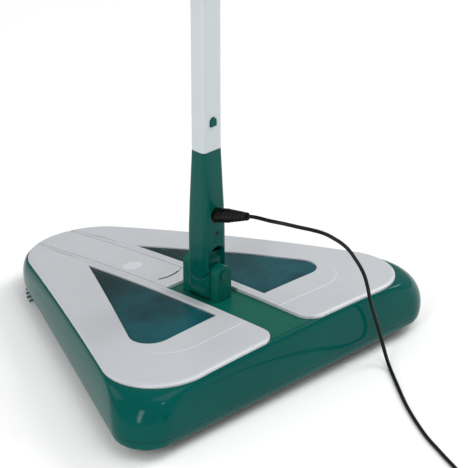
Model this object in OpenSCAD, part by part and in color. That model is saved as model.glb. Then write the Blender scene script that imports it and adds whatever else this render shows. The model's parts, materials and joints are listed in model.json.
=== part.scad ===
// Cordless carpet sweeper with a triangular head, three driven edge brushes,
// a universally jointed handle and a plug-in charging lead.
// Frame: +X across the rear edge, +Y towards the nose, +Z up, millimetres.
// The origin is on the floor, under the middle of the head.

/* [Head plan] */
// Length of the rear edge before its corners are rounded
base_w = 330; // [324:2:336]
// Depth from the rear edge to the pointed nose, before rounding
plan_d = 351; // [347:1:355]
// Outer radius of the two rear corners
base_r = 26; // [24:1:28]
// Outer radius of the nose
nose_r = 54; // [50:1:56]

/* [Head height] */
// Height of the bumper's lower edge above the floor
skirt_z = 8; // [7:0.5:9]
// Height of the bumper's widest line
rim_z = 20; // [18:1:24]
// Height of the crown's highest line
crown_h = 53.5; // [52:0.5:56]
// Radius of the domed crown
crown_r = 2200; // [2100:50:2600]
// How far the crown's highest line lies behind the rear edge
crown_lead = 30; // [20:5:40]
// Wall of the bumper
wall = 2.5; // [2:0.25:3]
// How far the bumper tucks in at its lower edge
tuck = 3.5; // [3:0.25:4]

/* [Covers and deck] */
// Thickness of the silver covers
cover_t = 2.5; // [2:0.25:3]
// Thickness of the deck under them
deck_t = 2; // [1.5:0.25:2.5]
// Gap between stacked skins
seam = 0.1; // [0.1:0.05:0.2]
// How far the covers sit inside the head's outline
cover_in = 4.2; // [3.5:0.1:5]
// Corner radius of the covers at the rear
cover_base_r = 42; // [38:1:46]
// Corner radius of the covers at the nose
cover_nose_r = 50; // [46:1:52]
// Half width of the green centre band
band_half = 16.6; // [16:0.2:18]
// Width of the shadow gap between neighbouring covers
groove = 0.8; // [0.6:0.1:1]
// Rounding where each cover meets the band at the rear
cover_turn = 14; // [8:1:18]

/* [Windows] */
// Thickness of a window pane
pane_t = 1.4; // [1.2:0.1:1.8]
// Width of the deck's ledge under a pane
pane_ledge = 3; // [2:0.5:4]
// Inner edge of a window, from the centre line
pane_inner = 24.5; // [24:0.5:27]
// Distance of a window's outer corner inside the head's side edge
pane_side_in = 32.81; // [30:0.01:36]
// Distance of a window's point inside the head's side edge
pane_nose_in = 42.47; // [40:0.01:44]
// Distance of a window's rear edge inside the head's rear edge
pane_rear_in = 59.034; // [56:0.001:62]
// Rounding of a window's outer corner
pane_r = 16; // [12:1:18]

/* [Battery bay] */
// Free end of the battery lid, ahead of the handle at its sides
lid_lead = 46; // [45:0.5:48]
// Radius of the lid's curved free end
lid_arc = 26; // [24:1:30]
// Rear edge of the fixed pad behind the lid, ahead of the handle
pad_lead = 27; // [26:0.5:28]
// How far the lid lifts off
lid_lift = 30; // [20:1:40]
// Diameter of a cell
cell_d = 14.2; // [14:0.1:14.5]
// Length of a cell
cell_l = 50; // [48:0.5:50.5]

/* [Brush rollers] */
// Distance of a roller's axis inside the head's outline
roller_in = 19.5; // [19:0.25:20]
// Height of the roller axes
axle_z = 14; // [13.9:0.1:14.3]
// Radius over the bristles
bristle_r = 13.9; // [12.5:0.1:13.9]
// Radius of a roller's core
core_r = 5; // [4.5:0.25:5.5]
// Radius of an axle
axle_r = 2; // [1.5:0.1:2.2]
// Thickness of a bristle tuft
tuft_d = 3; // [2.4:0.2:3.4]
// Distance between tufts along a roller
tuft_pitch = 9; // [8:0.5:11]
// Angle between neighbouring tufts of one row
tuft_twist = 24; // [16:2:30]
// How far the side rollers stop short of where their axes would meet at the nose
nose_gap = 79.6; // [78:0.1:84]
// Tufts in each fixed brush beside the nose
brush_count = 4; // [3:1:4]
// Distance between those tufts
brush_pitch = 6.5; // [6:0.25:7]
// Thickness of one of those tufts
brush_d = 2.2; // [1.8:0.1:2.6]
// Distance of their tips inside the head's outline
brush_reach = 1.8; // [0:0.2:4]
// Height of their tips above the floor
brush_tip_z = 2.6; // [2:0.2:3.6]
// How far they lean towards the nose
brush_lean = 2.9; // [0:0.1:3.5]
// Thickness of a bearing block
bush_t = 4; // [3:0.5:4]
// Pitch radius of the corner gears
gear_r = 7; // [6.5:0.25:7]
// Teeth on each corner gear
gear_teeth = 12; // [12]

/* [Motor and belt] */
// Radius of the motor
motor_r = 10; // [9:0.5:11]
// Length of the motor
motor_l = 28; // [24:1:28]
// Distance of the motor axis inside the rear edge
motor_in = 55.034; // [54:0.001:56]
// Height of the motor axis
motor_z = 33; // [31:0.5:34]
// Distance of the belt from the centre line
belt_x = 16; // [15.5:0.5:16]
// Effective radius of the pulley on the motor
drive_r = 4; // [3.5:0.25:4.5]
// Effective radius of the pulley on the rear roller
driven_r = 8; // [7:0.5:8]

/* [Dust bins] */
// Distance of a door's slanted edge inside the head's outline
door_in = 46; // [45:0.5:48]
// Inner edge of a door, from the centre line
door_side = 27; // [26:0.5:28]
// Distance of a door's hinge line inside the rear edge
hinge_in = 50.034; // [49:0.001:51]
// Width of a door at its front edge
door_tip = 5.83; // [5:0.01:9]
// How far a door opens
door_open = 80; // [60:1:85]

/* [Handle joint] */
// Distance of the handle axis inside the rear edge
handle_in = 94.034; // [93:0.001:95]
// Width of a yoke ear
ear_w = 14; // [13:0.5:14]
// Thickness of a yoke ear
ear_t = 7; // [6:0.5:8]
// Height of the side-tilt pin above the band
swivel_up = 21.5; // [21:0.25:22]
// Height of the recline pin above the band
tilt_up = 28; // [27.75:0.25:28.5]
// Radius of both pins
pin_r = 2; // [1.8:0.1:2]
// Running clearance of a pin
running = 0.05; // [0.03:0.01:0.08]
// Gap between moving faces
play = 0.3; // [0.25:0.05:0.35]

/* [Neck] */
// Width of the neck at its foot
neck_w = 21; // [20.5:0.25:21.5]
// Depth of the neck at its foot
neck_d = 22; // [21.5:0.25:22.5]
// Height of the neck's top above the band
neck_up = 117; // [114:1:122]
// Height above the band up to which the neck keeps its full section
neck_full = 55; // [50:1:58]
// Wall of the neck
neck_wall = 2; // [1.75:0.25:2.25]
// Height of the charging socket above the band
jack_up = 67.4; // [66:0.2:70]
// Upward lean of the charging socket
jack_lean = 17; // [10:1:20]
// Height of the charge light above the band
light_up = 53; // [50:0.5:55]

/* [Handle tubes] */
// Width of the tube
tube_w = 19; // [18.5:0.25:19.5]
// Depth of the tube
tube_d = 14; // [13.5:0.25:14.5]
// Corner radius of the tube
tube_r = 3; // [2.5:0.25:3.5]
// Wall of the tube
tube_wall = 1; // [0.8:0.1:1.1]
// Length of the lower tube
lower_l = 435; // [400:5:460]
// Length of the upper tube
upper_l = 385; // [340:5:420]
// Height of the snap button above the tube's lower end
button_up = 22.5; // [20:0.5:26]
// Travel of the snap button
button_travel = 2.2; // [1.5:0.1:2.5]

/* [Grip] */
// Length of the grip
grip_l = 130; // [125:1:140]
// Width of the grip
grip_w = 30; // [28:0.5:33]
// Depth of the grip
grip_d = 25; // [23:0.5:28]
// Radius of the hanging hole
hang_r = 5; // [4:0.25:6]
// Travel of the power button
power_travel = 1.5; // [1:0.1:2]

/* [Charger] */
// Diameter of the lead
cord_d = 2.8; // [2.7:0.05:2.9]
// Radius of the plug's body
plug_r = 5.25; // [5:0.05:5.3]
// Length of the plug's body
plug_l = 33; // [31:0.5:34]
// Width of the wall adapter
adapter_w = 42; // [38:1:46]

/* [Hidden] */

// Smoothness of true circles
fine = 96;
// Smoothness of the children of a hull
coarse = 32;
// Overlap that makes a cut run clear of a face
clear = 1;

// Head plan
half_w = base_w / 2;
nose_a = atan(half_w / plan_d);
corner_a = (90 - nose_a) / 2;
head_d = plan_d - nose_r / sin(nose_a) + nose_r;
rear_y = -head_d / 2;
crown_y = rear_y - crown_lead;

// Distances below the crown of the stacked skins
deck_drop = cover_t + seam;
under_drop = deck_drop + deck_t;
ledge_w = wall;

// Height of the tray's lower and upper faces
tray_z = skirt_z + 0.2;
tray_t = 2;
tray_top = tray_z + tray_t;
tray_in = tuck + wall + play;

// Height of the crown at a point, lowered by drop
function crown(x, y, drop = 0) =
    crown_h - crown_r + sqrt(pow(crown_r - drop, 2) - x * x - pow(y - crown_y, 2));

// Outline of the head set in by inset, with its own corner radii.
// Every ring has the same number of points, so rings can be skinned together.
corner_n = 14;
nose_n = 18;
side_n = 7;
function arc(c, r, a0, a1, n) = [for (k = [0:n]) let(a = a0 + (a1 - a0) * k / n) c + r * [cos(a), sin(a)]];
function between(p, q, n) = [for (k = [1:n]) p + (q - p) * k / (n + 1)];
function ring(inset, rb, rn) =
    let(
        cx = half_w - (inset + rb) / tan(corner_a),
        cy = rear_y + inset + rb,
        ny = rear_y + plan_d - (inset + rn) / sin(nose_a),
        right = arc([cx, cy], rb, -90, nose_a, corner_n),
        nose = arc([0, ny], rn, nose_a, 180 - nose_a, nose_n),
        left = arc([-cx, cy], rb, 180 - nose_a, 270, corner_n)
    )
    concat(
        right, between(right[corner_n], nose[0], side_n),
        nose, between(nose[nose_n], left[0], side_n),
        left, between(left[corner_n], right[0], side_n)
    );
function outer_ring(inset) = ring(inset, base_r - inset, nose_r - inset);
function cover_ring(more) = ring(cover_in + more, cover_base_r - more, cover_nose_r - more);
function mix(a, b, w) = [for (i = [0:len(a) - 1]) a[i] * (1 - w) + b[i] * w];
// Distance from the centre line of a slanted line that lies inset inside the side edge
function side_x(y, inset) = half_w - (y - rear_y) * tan(nose_a) - inset / cos(nose_a);

// Where that line crosses a distance from the centre line
function side_y(x, inset) = rear_y + (half_w - inset / cos(nose_a) - x) / tan(nose_a);

// Handle joint heights
handle_y = rear_y + handle_in;
band_z = crown(0, handle_y, deck_drop);
swivel_z = band_z + swivel_up;
tilt_z = band_z + tilt_up;
ear_in = neck_d / 2 + play;
ear_out = ear_in + ear_t;
cheek_in = ear_w / 2 + 2 * play;
tongue_r = 8;
neck_top = band_z + neck_up;
tube_foot = neck_top + seam;
joiner_z = tube_foot + lower_l;
joiner_h = 3;
upper_foot = joiner_z + joiner_h + 2 * seam;
upper_top = upper_foot + upper_l;
grip_hold = 36;
grip_foot = upper_top - grip_hold;
grip_top = grip_foot + grip_l;

// A rounded rectangle, as a plain outline
function round_rect(w, d, r, n = 6) = concat(
    arc([w / 2 - r, d / 2 - r], r, 0, 90, n), arc([r - w / 2, d / 2 - r], r, 90, 180, n),
    arc([r - w / 2, r - d / 2], r, 180, 270, n), arc([w / 2 - r, r - d / 2], r, 270, 360, n)
);
module bar(w, d, r, h) { linear_extrude(h) polygon(round_rect(w, d, r)); }

// Everything under the domed crown, lowered by drop
module under_crown(drop, foot = 0) {
    reach = 360;
    translate([0, crown_y, 0])
        rotate_extrude($fn = 240)
            intersection() {
                translate([0, crown_h - crown_r]) circle(r = crown_r - drop, $fn = 1800);
                translate([0, foot]) square([reach, crown_h]);
            }
}
// A skin between two depths under the crown, cut to the outline of its children
module crown_skin(top_drop, bottom_drop) {
    difference() {
        intersection() {
            linear_extrude(crown_h + clear) children();
            under_crown(top_drop, clear);
        }
        under_crown(bottom_drop);
    }
}
module mirrored(side) { mirror([side < 0 ? 1 : 0, 0, 0]) children(); }

// ---------- bumper ----------
// A ring skinned through outlines: up the outer face, over the ledge and down the inner face
bulge_n = 6;
cap_ring = cover_ring(0);
ledge_ring = cover_ring(ledge_w);
function level(flat, z) = [for (p = flat) [p.x, p.y, z]];
// Outline a quarter ellipse of angle a up from the rim towards the crown, lowered by low there
function bulge(rim_line, top_line, low, a) =
    let(flat = mix(rim_line, top_line, 1 - cos(a)))
    [for (i = [0:len(flat) - 1])
        let(top = crown(top_line[i].x, top_line[i].y, deck_drop + low))
        [flat[i].x, flat[i].y, rim_z + (top - rim_z) * sin(a)]];
bumper_rings = concat(
    [
        level(outer_ring(tuck), skirt_z),
        level(outer_ring(tuck * 0.45), skirt_z + 2),
        level(outer_ring(tuck * 0.12), skirt_z + 6)
    ],
    [for (k = [0:bulge_n]) bulge(outer_ring(0), cap_ring, 0, 90 * k / bulge_n)],
    [bulge(outer_ring(wall), ledge_ring, 0, 90)],
    [for (k = [3:-1:0]) bulge(outer_ring(wall), ledge_ring, wall, 30 * k)],
    [level(outer_ring(tuck + wall - play), skirt_z)]
);
module bumper() {
    n = len(bumper_rings[0]);
    m = len(bumper_rings);
    points = [for (r = bumper_rings) for (p = r) p];
    faces = [for (j = [0:m - 1]) for (i = [0:n - 1])
        let(a = j * n + i, b = j * n + (i + 1) % n, c = ((j + 1) % m) * n + (i + 1) % n, d = ((j + 1) % m) * n + i)
        each [[a, c, b], [a, d, c]]];
    color([0.01, 0.27, 0.26]) polyhedron(points, faces);
}

// ---------- deck, covers and windows ----------
yoke_cut_w = ear_w + 2 * play;
// Point at equal distances from the rear edge and the right side edge
function corner_point(inset) = [half_w - inset / tan(corner_a), rear_y + inset];
post_in = 38.8;
posts = [
    [-corner_point(post_in).x, corner_point(post_in).y], corner_point(post_in),
    [-4, rear_y + 40], [0, -rear_y - 18]
];
yoke_half_w = 13;
yoke_half_d = 24;
yoke_t = 3.5;
boss_r = 3;
yoke_bolts = [for (x = [-1, 1]) for (y = [-1, 1]) [x * (yoke_half_w - 3.5), handle_y + y * (yoke_half_d - 3.5)]];
post_r = 3.2;
post_bore = 1.2;
pane_rear = rear_y + pane_rear_in;
pane_outer = side_x(pane_rear, pane_side_in);
pane_nose = side_y(pane_inner, pane_nose_in);
module pane_outline(grow) {
    // three sides, with the outer rear corner rounded
    slope = atan((pane_outer - pane_inner) / (pane_nose - pane_rear));
    q = [pane_outer - pane_r / tan((90 - slope) / 2), pane_rear + pane_r];
    g = grow;
    round_corner = arc(q, pane_r + g, -90, slope, 10);
    polygon(concat(
        [[pane_inner - g, pane_nose + g * (1 + cos(slope)) / sin(slope)], [pane_inner - g, pane_rear - g]],
        round_corner
    ));
}
module lid_outline(shrink) {
    // from the curved free end to the nose of the covers
    intersection() {
        polygon(cover_ring(shrink));
        translate([shrink + groove - band_half, -cell_l]) square([2 * (band_half - groove - shrink), 300]);
        translate([0, lid_start + sqrt(pow(lid_arc, 2) - pow(band_half, 2))])
            union() {
                circle(r = lid_arc - shrink, $fn = fine);
                translate([-50, 0]) square([100, 300]);
            }
    }
}
module top_deck() {
    color([0.02, 0.37, 0.33]) {
        difference() {
            union() {
                crown_skin(deck_drop, under_drop) polygon(cover_ring(ledge_w + play));
                intersection() {
                    union() {
                        for (p = posts)
                            translate([p.x, p.y, tray_top + seam]) cylinder(r = post_r, h = crown_h, $fn = fine);
                        for (p = yoke_bolts)
                            translate([p.x, p.y, crown(p.x, p.y, under_drop + seam) - yoke_t])
                                cylinder(r = boss_r, h = crown_h, $fn = fine);
                    }
                    under_crown(deck_drop + deck_t / 2, clear);
                }
            }
            for (s = [-1, 1]) mirrored(s) linear_extrude(crown_h + clear) pane_outline(-pane_ledge);
            translate([-yoke_cut_w / 2, handle_y - ear_out - play, 0]) cube([yoke_cut_w, 2 * (ear_out + play), crown_h + clear]);
            translate([-bay_half, bay_rear, 0]) cube([2 * bay_half, bay_front - bay_rear, crown_h + clear]);
            for (p = posts) translate([p.x, p.y, 0]) cylinder(r = post_bore, h = tray_top + 12, $fn = fine);
            for (p = yoke_bolts)
                translate([p.x, p.y, 0]) cylinder(r = post_bore, h = crown(p.x, p.y, deck_drop + 0.7), $fn = fine);
        }
    }
}
module cover(side) {
    turn = cover_turn;
    color([0.74, 0.76, 0.78]) mirrored(side)
        crown_skin(0, cover_t)
            difference() {
                polygon(cover_ring(0));
                translate([-base_w, -plan_d]) square([base_w + band_half, 2 * plan_d]);
                difference() {
                    translate([band_half - clear, rear_y]) square([turn + clear, cover_in + turn]);
                    translate([band_half + turn, rear_y + cover_in + turn]) circle(r = turn, $fn = fine);
                }
                pane_outline(play);
            }
}
module left_cover() { cover(-1); }
module right_cover() { cover(1); }
module centre_pad() {
    color([0.74, 0.76, 0.78])
        crown_skin(0, cover_t)
            difference() {
                translate([groove - band_half, pad_rear]) square([2 * (band_half - groove), lid_start + groove - pad_rear]);
                translate([0, lid_start + sqrt(pow(lid_arc, 2) - pow(band_half, 2))]) circle(r = lid_arc + groove, $fn = fine);
            }
}
module window(side) {
    color([0.09, 0.3, 0.33, 0.6]) mirrored(side)
        crown_skin(deck_drop - seam - pane_t, deck_drop - seam) pane_outline(0);
}
module left_window() { window(-1); }
module right_window() { window(1); }

// ---------- battery bay ----------
bay_half = 14;
bay_rear = handle_y + 43;
bay_front = -rear_y - 41;
lid_start = handle_y + lid_lead;
pad_rear = handle_y + pad_lead;
cradle_h = 6;
cell_z = tray_top + 1 + cell_d / 2;
cell_rear = -rear_y - 151.034;
module battery_lid() {
    color([0.74, 0.76, 0.78]) {
        crown_skin(0, cover_t) lid_outline(0);
        // two locating ribs inside the bay
        for (s = [-1, 1])
            crown_skin(cover_t - seam, cover_t + 4)
                translate([s * (bay_half - 1.2) - 0.6, bay_rear + 4]) square([1.2, bay_front - bay_rear - 8]);
    }
}
module battery_cells() {
    color([0.16, 0.42, 0.22])
        for (s = [-1, 1]) for (k = [0, 1])
            translate([s * (cell_d / 2 + seam), cell_rear + k * (cell_l + 2), cell_z]) rotate([-90, 0, 0]) {
                cylinder(d = cell_d, h = cell_l - 1.2, $fn = fine);
                translate([0, 0, cell_l - 1.2]) cylinder(d = 5, h = 1.2, $fn = fine);
            }
}
module battery_cradle() {
    long = 2 * cell_l + 2;
    color([0.12, 0.12, 0.13])
        difference() {
            translate([-cell_d - 1.2, cell_rear - 2.5, tray_top + seam]) cube([2 * cell_d + 2.4, long + 5, cradle_h]);
            for (s = [-1, 1])
                translate([s * (cell_d / 2 + seam), cell_rear - 0.2, cell_z]) rotate([-90, 0, 0])
                    cylinder(d = cell_d + 2 * seam, h = long + 0.4, $fn = fine);
        }
}

// ---------- tray, feet and bins ----------
// Rollers meet at this point, one in each rear corner
meet = corner_point(roller_in);
plate_in = roller_in + bristle_r + 0.9;
// Place children on a roller's line: x runs along the roller, away from the corner
module rear_line(side) { translate([side * meet.x, meet.y, 0]) rotate([0, 0, side > 0 ? 180 : 0]) children(); }
module side_line(side) {
    translate([side * meet.x, meet.y, 0]) rotate([0, 0, side > 0 ? 90 + nose_a : 90 - nose_a]) children();
}
// The same as points: along the roller, and in from its axis
function rear_at(along, in) = meet + [-along, in];
function side_at(along, in) = meet + along * [-sin(nose_a), cos(nose_a)] - in * [cos(nose_a), sin(nose_a)];
gusset_in = plate_in - roller_in + 0.1;
bush_at = 13.2;
bush_w = 9;
bush_top = axle_z + 4.5;
hinge_z = tray_top;
hinge_r = 2.5;
hinge_pin_r = 1;
door_gap = 0.4;
lug_t = 2;
door_hinge = -rear_y - hinge_in;
door_nose = side_y(door_side + door_tip, door_in);
door_far = side_x(-door_hinge, door_in);
barrel_far = side_x(hinge_r - door_hinge, door_in) - door_gap;
foot_r = 5;
foot_side = half_w - 81;
feet = [[-foot_side, rear_y + 40.6], [foot_side, rear_y + 40.6], [0, -rear_y - 42]];
bin_in = plate_in + 6.2;
bin_wall = 2;
bin_side = door_side - 6.5;
bin_rear = rear_y + 42;
bin_nose = door_nose + 8;
module door_outline(shrink) {
    nose = door_nose - shrink;
    rear = -door_hinge - hinge_r - 0.5 + shrink;
    inset = door_in + shrink;
    polygon([
        [door_side + shrink, rear], [side_x(rear, inset), rear],
        [side_x(nose, inset), nose], [door_side + shrink, nose]
    ]);
}
module bin_outline(shrink) {
    polygon([
        [bin_side + shrink, bin_rear + shrink], [side_x(bin_rear + shrink, bin_in + shrink), bin_rear + shrink],
        [side_x(bin_nose - shrink, bin_in + shrink), bin_nose - shrink], [bin_side + shrink, bin_nose - shrink]
    ]);
}
side_len = meet.x / sin(nose_a) - nose_gap;
module tray_outline() {
    // wedge ahead of the side rollers' free ends
    wedge_y = meet.y + (side_len - 2 - meet.x * sin(nose_a)) / cos(nose_a);
    wedge_x = 60;
    polygon(ring(plate_in, 2, nose_r - plate_in));
    intersection() {
        polygon(outer_ring(tuck + wall + play));
        polygon([
            [0, wedge_y], [wedge_x, wedge_y + wedge_x * tan(nose_a)], [wedge_x, 200],
            [-wedge_x, 200], [-wedge_x, wedge_y + wedge_x * tan(nose_a)]
        ]);
    }
    translate([-5, -rear_y - plate_in - 6]) square([10, wedge_y + rear_y + plate_in + 12]);
    // gussets that carry the bearing blocks of the rear corners
    for (s = [-1, 1]) mirrored(s) {
        out = bush_w / 2;
        near = bush_at - 0.5;
        far = tuft_from - tuft_d / 2 - 1;
        polygon([
            rear_at(near, -out), rear_at(near, out), side_at(near, out), side_at(near, -out),
            side_at(near + bush_t + 1, -out), side_at(near + bush_t + 1, core_r + 0.8),
            side_at(far, core_r + 0.8), side_at(far, gusset_in), corner_point(plate_in + 4),
            rear_at(far, gusset_in), rear_at(far, core_r + 0.8), rear_at(near + bush_t + 1, core_r + 0.8),
            rear_at(near + bush_t + 1, -out)
        ]);
    }
}
module base_tray() {
    color([0.02, 0.2, 0.19])
        difference() {
            union() {
                translate([0, 0, tray_z]) linear_extrude(tray_t) difference() {
                    tray_outline();
                    for (s = [-1, 1]) mirrored(s) intersection() {
                        door_outline(0);
                        translate([0, -door_hinge - 2 * hinge_r]) square([door_far + 0.2, plan_d]);
                    }
                    for (p = posts) translate(p) circle(r = 1.6, $fn = fine);
                    for (p = feet) translate(p) circle(r = 1.5, $fn = fine);
                }
                for (s = [-1, 1]) mirrored(s)
                    for (x = [door_side - 0.6 - lug_t, door_far + 0.6])
                        translate([x, -door_hinge - 2.6, tray_top - clear]) cube([lug_t, 5.2, 3.4]);
            }
            for (s = [-1, 1]) mirrored(s)
                translate([door_side - 5, -door_hinge, hinge_z]) rotate([0, 90, 0])
                    cylinder(r = hinge_pin_r + running, h = door_far - door_side + 10, $fn = fine);
        }
}
module housing_screws() {
    color([0.62, 0.63, 0.65])
        for (p = posts) translate([p.x, p.y, tray_z - 1.3]) {
            difference() {
                cylinder(r = 2.8, h = 1.2, $fn = fine);
                for (a = [0, 90]) rotate([0, 0, a]) translate([-1.7, -0.3, -clear]) cube([3.4, 0.6, 1.7]);
            }
            translate([0, 0, 1.1]) cylinder(r = post_bore - 0.02, h = 12, $fn = fine);
        }
}
module glide_feet() {
    color([0.1, 0.1, 0.11])
        for (p = feet) translate([p.x, p.y, 0]) {
            cylinder(r = foot_r, h = tray_z - seam, $fn = fine);
            cylinder(r = 1.45, h = tray_top - 0.2, $fn = fine);
        }
}
module dust_bin(side) {
    lip = 3;
    high = 12;
    color([0.05, 0.3, 0.28]) mirrored(side) translate([0, 0, tray_top + seam])
        difference() {
            union() {
                linear_extrude(lip) difference() {
                    bin_outline(0);
                    bin_outline(bin_wall);
                }
                linear_extrude(high) intersection() {
                    difference() {
                        bin_outline(0);
                        bin_outline(bin_wall);
                    }
                    union() {
                        translate([bin_side, bin_rear + 8]) square([bin_wall, 300]);
                        translate([bin_side, bin_nose - bin_wall]) square([30, bin_wall]);
                    }
                }
            }
        }
}
module left_dust_bin() { dust_bin(-1); }
module right_dust_bin() { dust_bin(1); }
module dust_door(side) {
    color([0.03, 0.24, 0.23]) mirrored(side)
        difference() {
            union() {
                translate([0, 0, tray_z]) linear_extrude(tray_t) intersection() {
                    door_outline(door_gap);
                    translate([0, -door_hinge]) square([door_far - door_gap, plan_d]);
                }
                translate([door_side + door_gap, -door_hinge, hinge_z]) rotate([0, 90, 0])
                    cylinder(r = hinge_r, h = barrel_far - door_side - door_gap, $fn = fine);
                // finger rib and stiffening ribs
                translate([door_side + 1.2, door_nose - 5, tray_z - 1.2]) cube([4, 2.4, 1.4]);
                for (y = [-60, -30]) translate([door_side + 4, y, tray_top - 0.2])
                    cube([side_x(y + 1.2, door_in + 4) - door_side - 4, 1.2, 1.4]);
            }
            translate([0, -door_hinge, hinge_z]) rotate([0, 90, 0])
                cylinder(r = hinge_pin_r + running, h = 200, $fn = fine);
        }
}
module left_dust_door() { dust_door(-1); }
module right_dust_door() { dust_door(1); }
module door_pins() {
    color([0.66, 0.67, 0.69])
        for (s = [-1, 1]) mirrored(s)
            translate([door_side - 0.6 - lug_t, -door_hinge, hinge_z]) rotate([0, 90, 0])
                cylinder(r = hinge_pin_r, h = door_far - door_side + 1.2 + 2 * lug_t, $fn = fine);
}

// ---------- fixed brushes beside the nose ----------
// A round rod from one point to another
module rod(p, q, d) {
    v = q - p;
    translate(p) rotate([0, acos(v.z / norm(v)), atan2(v.y, v.x)]) cylinder(d = d, h = norm(v), $fn = 24);
}
// Station along a side at which the nose's curve begins, and how far the curve lies inside the side's line
curve_from = meet.x / sin(nose_a) - (nose_r - roller_in) / tan(nose_a);
function curve_in(s) = s > curve_from ? pow(s - curve_from, 2) / (2 * nose_r) : 0;
brush_strip = [8.2, 12.6];
brush_h = 3;
module nose_brushes() {
    long = (brush_count - 1) * brush_pitch + 7;
    from = side_len + 0.5;
    low = tray_z - seam - brush_h;
    color([0.05, 0.35, 0.33])
        for (s = [-1, 1]) mirrored(s) {
            translate([0, 0, low]) linear_extrude(brush_h) intersection() {
                polygon(outer_ring(tray_in + 0.7));
                polygon([
                    side_at(from, brush_strip[0] - roller_in), side_at(from + long, brush_strip[0] - roller_in),
                    side_at(from + long, brush_strip[1] - roller_in), side_at(from, brush_strip[1] - roller_in)
                ]);
            }
            for (k = [0:brush_count - 1]) let(
                    a = from + 2.6 + k * brush_pitch,
                    root = side_at(a - brush_lean, brush_strip[0] + 2 + curve_in(a) - roller_in),
                    tip = side_at(a, brush_reach + curve_in(a) - roller_in)
                )
                rod([root.x, root.y, low + 1.5], [tip.x, tip.y, brush_tip_z], brush_d);
        }
}

// ---------- rollers ----------
bush_bore = axle_r + running;
core_from = bush_at + bush_t + 1.6;
module bush() {
    translate([0, 0, tray_top + seam]) difference() {
        translate([0, -bush_w / 2, 0]) cube([bush_t, bush_w, bush_top - tray_top - seam]);
        translate([-clear, 0, axle_z - tray_top - seam]) rotate([0, 90, 0])
            cylinder(r = bush_bore, h = bush_t + 2 * clear, $fn = fine);
    }
}
module roller_bushes() {
    color([0.85, 0.84, 0.8])
        for (s = [-1, 1]) {
            rear_line(s) translate([bush_at, 0, 0]) bush();
            side_line(s) for (x = [bush_at, side_len]) translate([x, 0, 0]) bush();
        }
}
// A core between two stations along its axis, with its axle running from one end to the other
module core(from, to, axle_from, axle_to) {
    translate([0, 0, axle_z]) rotate([0, 90, 0]) {
        translate([0, 0, from]) cylinder(r = core_r, h = to - from, $fn = fine);
        translate([0, 0, axle_from]) cylinder(r = axle_r, h = axle_to - axle_from, $fn = fine);
    }
}
// Two rows of tufts that wind round the core, without the stations between skip_from and skip_to
module tufts(from, to, skip_from = 0, skip_to = 0) {
    count = floor((to - from) / tuft_pitch);
    for (k = [0:count]) {
        x = from + k * tuft_pitch;
        if (x < skip_from || x > skip_to)
            for (row = [0, 180])
                translate([x, 0, axle_z]) rotate([90 + row + k * tuft_twist, 0, 0])
                    translate([0, 0, core_r + 0.05]) cylinder(d = tuft_d, h = bristle_r - core_r - 0.05, $fn = 24);
    }
}
rear_span = 2 * meet.x;
gear_out = gear_r / tan(corner_a);
gear_face = 4.3;
gear_hub = bush_at - 0.4;
tuft_from = core_from + tuft_d / 2 + 7.5;
module rear_roller_core() {
    color([0.16, 0.17, 0.18])
        rear_line(-1) core(core_from, rear_span - core_from, gear_out - gear_face, rear_span - gear_out + gear_face);
}
module rear_roller_tufts() {
    belt_at = meet.x + belt_x;
    color([0.05, 0.35, 0.33])
        rear_line(-1) tufts(tuft_from, rear_span - tuft_from, belt_at - 7, belt_at + 7);
}
module side_core(side) {
    color([0.16, 0.17, 0.18])
        side_line(side) core(core_from, side_len - 2.8, gear_out - gear_face, side_len + bush_t + 0.4);
}
module side_tufts(side) {
    color([0.05, 0.35, 0.33]) side_line(side) tufts(tuft_from, side_len - 4);
}
module left_roller_core() { side_core(-1); }
module right_roller_core() { side_core(1); }
module left_roller_tufts() { side_tufts(-1); }
module right_roller_tufts() { side_tufts(1); }
// Straight bevel gear whose cone ends at the corner point, a tooth or a gap facing sideways
module bevel_gear(turn) {
    step = 360 / gear_teeth;
    root_r = gear_r - 1.2;
    tip_r = gear_r + 0.7;
    outline = [for (k = [0:gear_teeth - 1]) let(a = k * step)
        each [
            [a - step / 2 + 4.5, root_r], [a - step * 0.3, root_r], [a - step * 0.21, gear_r], [a - step * 0.15, tip_r],
            [a + step * 0.15, tip_r], [a + step * 0.21, gear_r], [a + step * 0.3, root_r]
        ]];
    translate([gear_out, 0, axle_z]) rotate([0, -90, 0]) difference() {
        union() {
            rotate([0, 0, 90 + turn]) linear_extrude(gear_face, scale = (gear_out - gear_face) / gear_out)
                polygon([for (p = outline) p[1] * [cos(p[0]), sin(p[0])]]);
            translate([0, 0, gear_out - gear_hub]) cylinder(r = 3.4, h = gear_hub - gear_out + 0.01, $fn = fine);
        }
        translate([0, 0, -20]) cylinder(r = axle_r + 0.02, h = 40, $fn = fine);
    }
}
module rear_gears() { color([0.93, 0.92, 0.88]) for (s = [-1, 1]) rear_line(s) bevel_gear(0); }
module left_gear() { color([0.93, 0.92, 0.88]) side_line(-1) bevel_gear(180 / gear_teeth); }
module right_gear() { color([0.93, 0.92, 0.88]) side_line(1) bevel_gear(180 / gear_teeth); }

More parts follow.
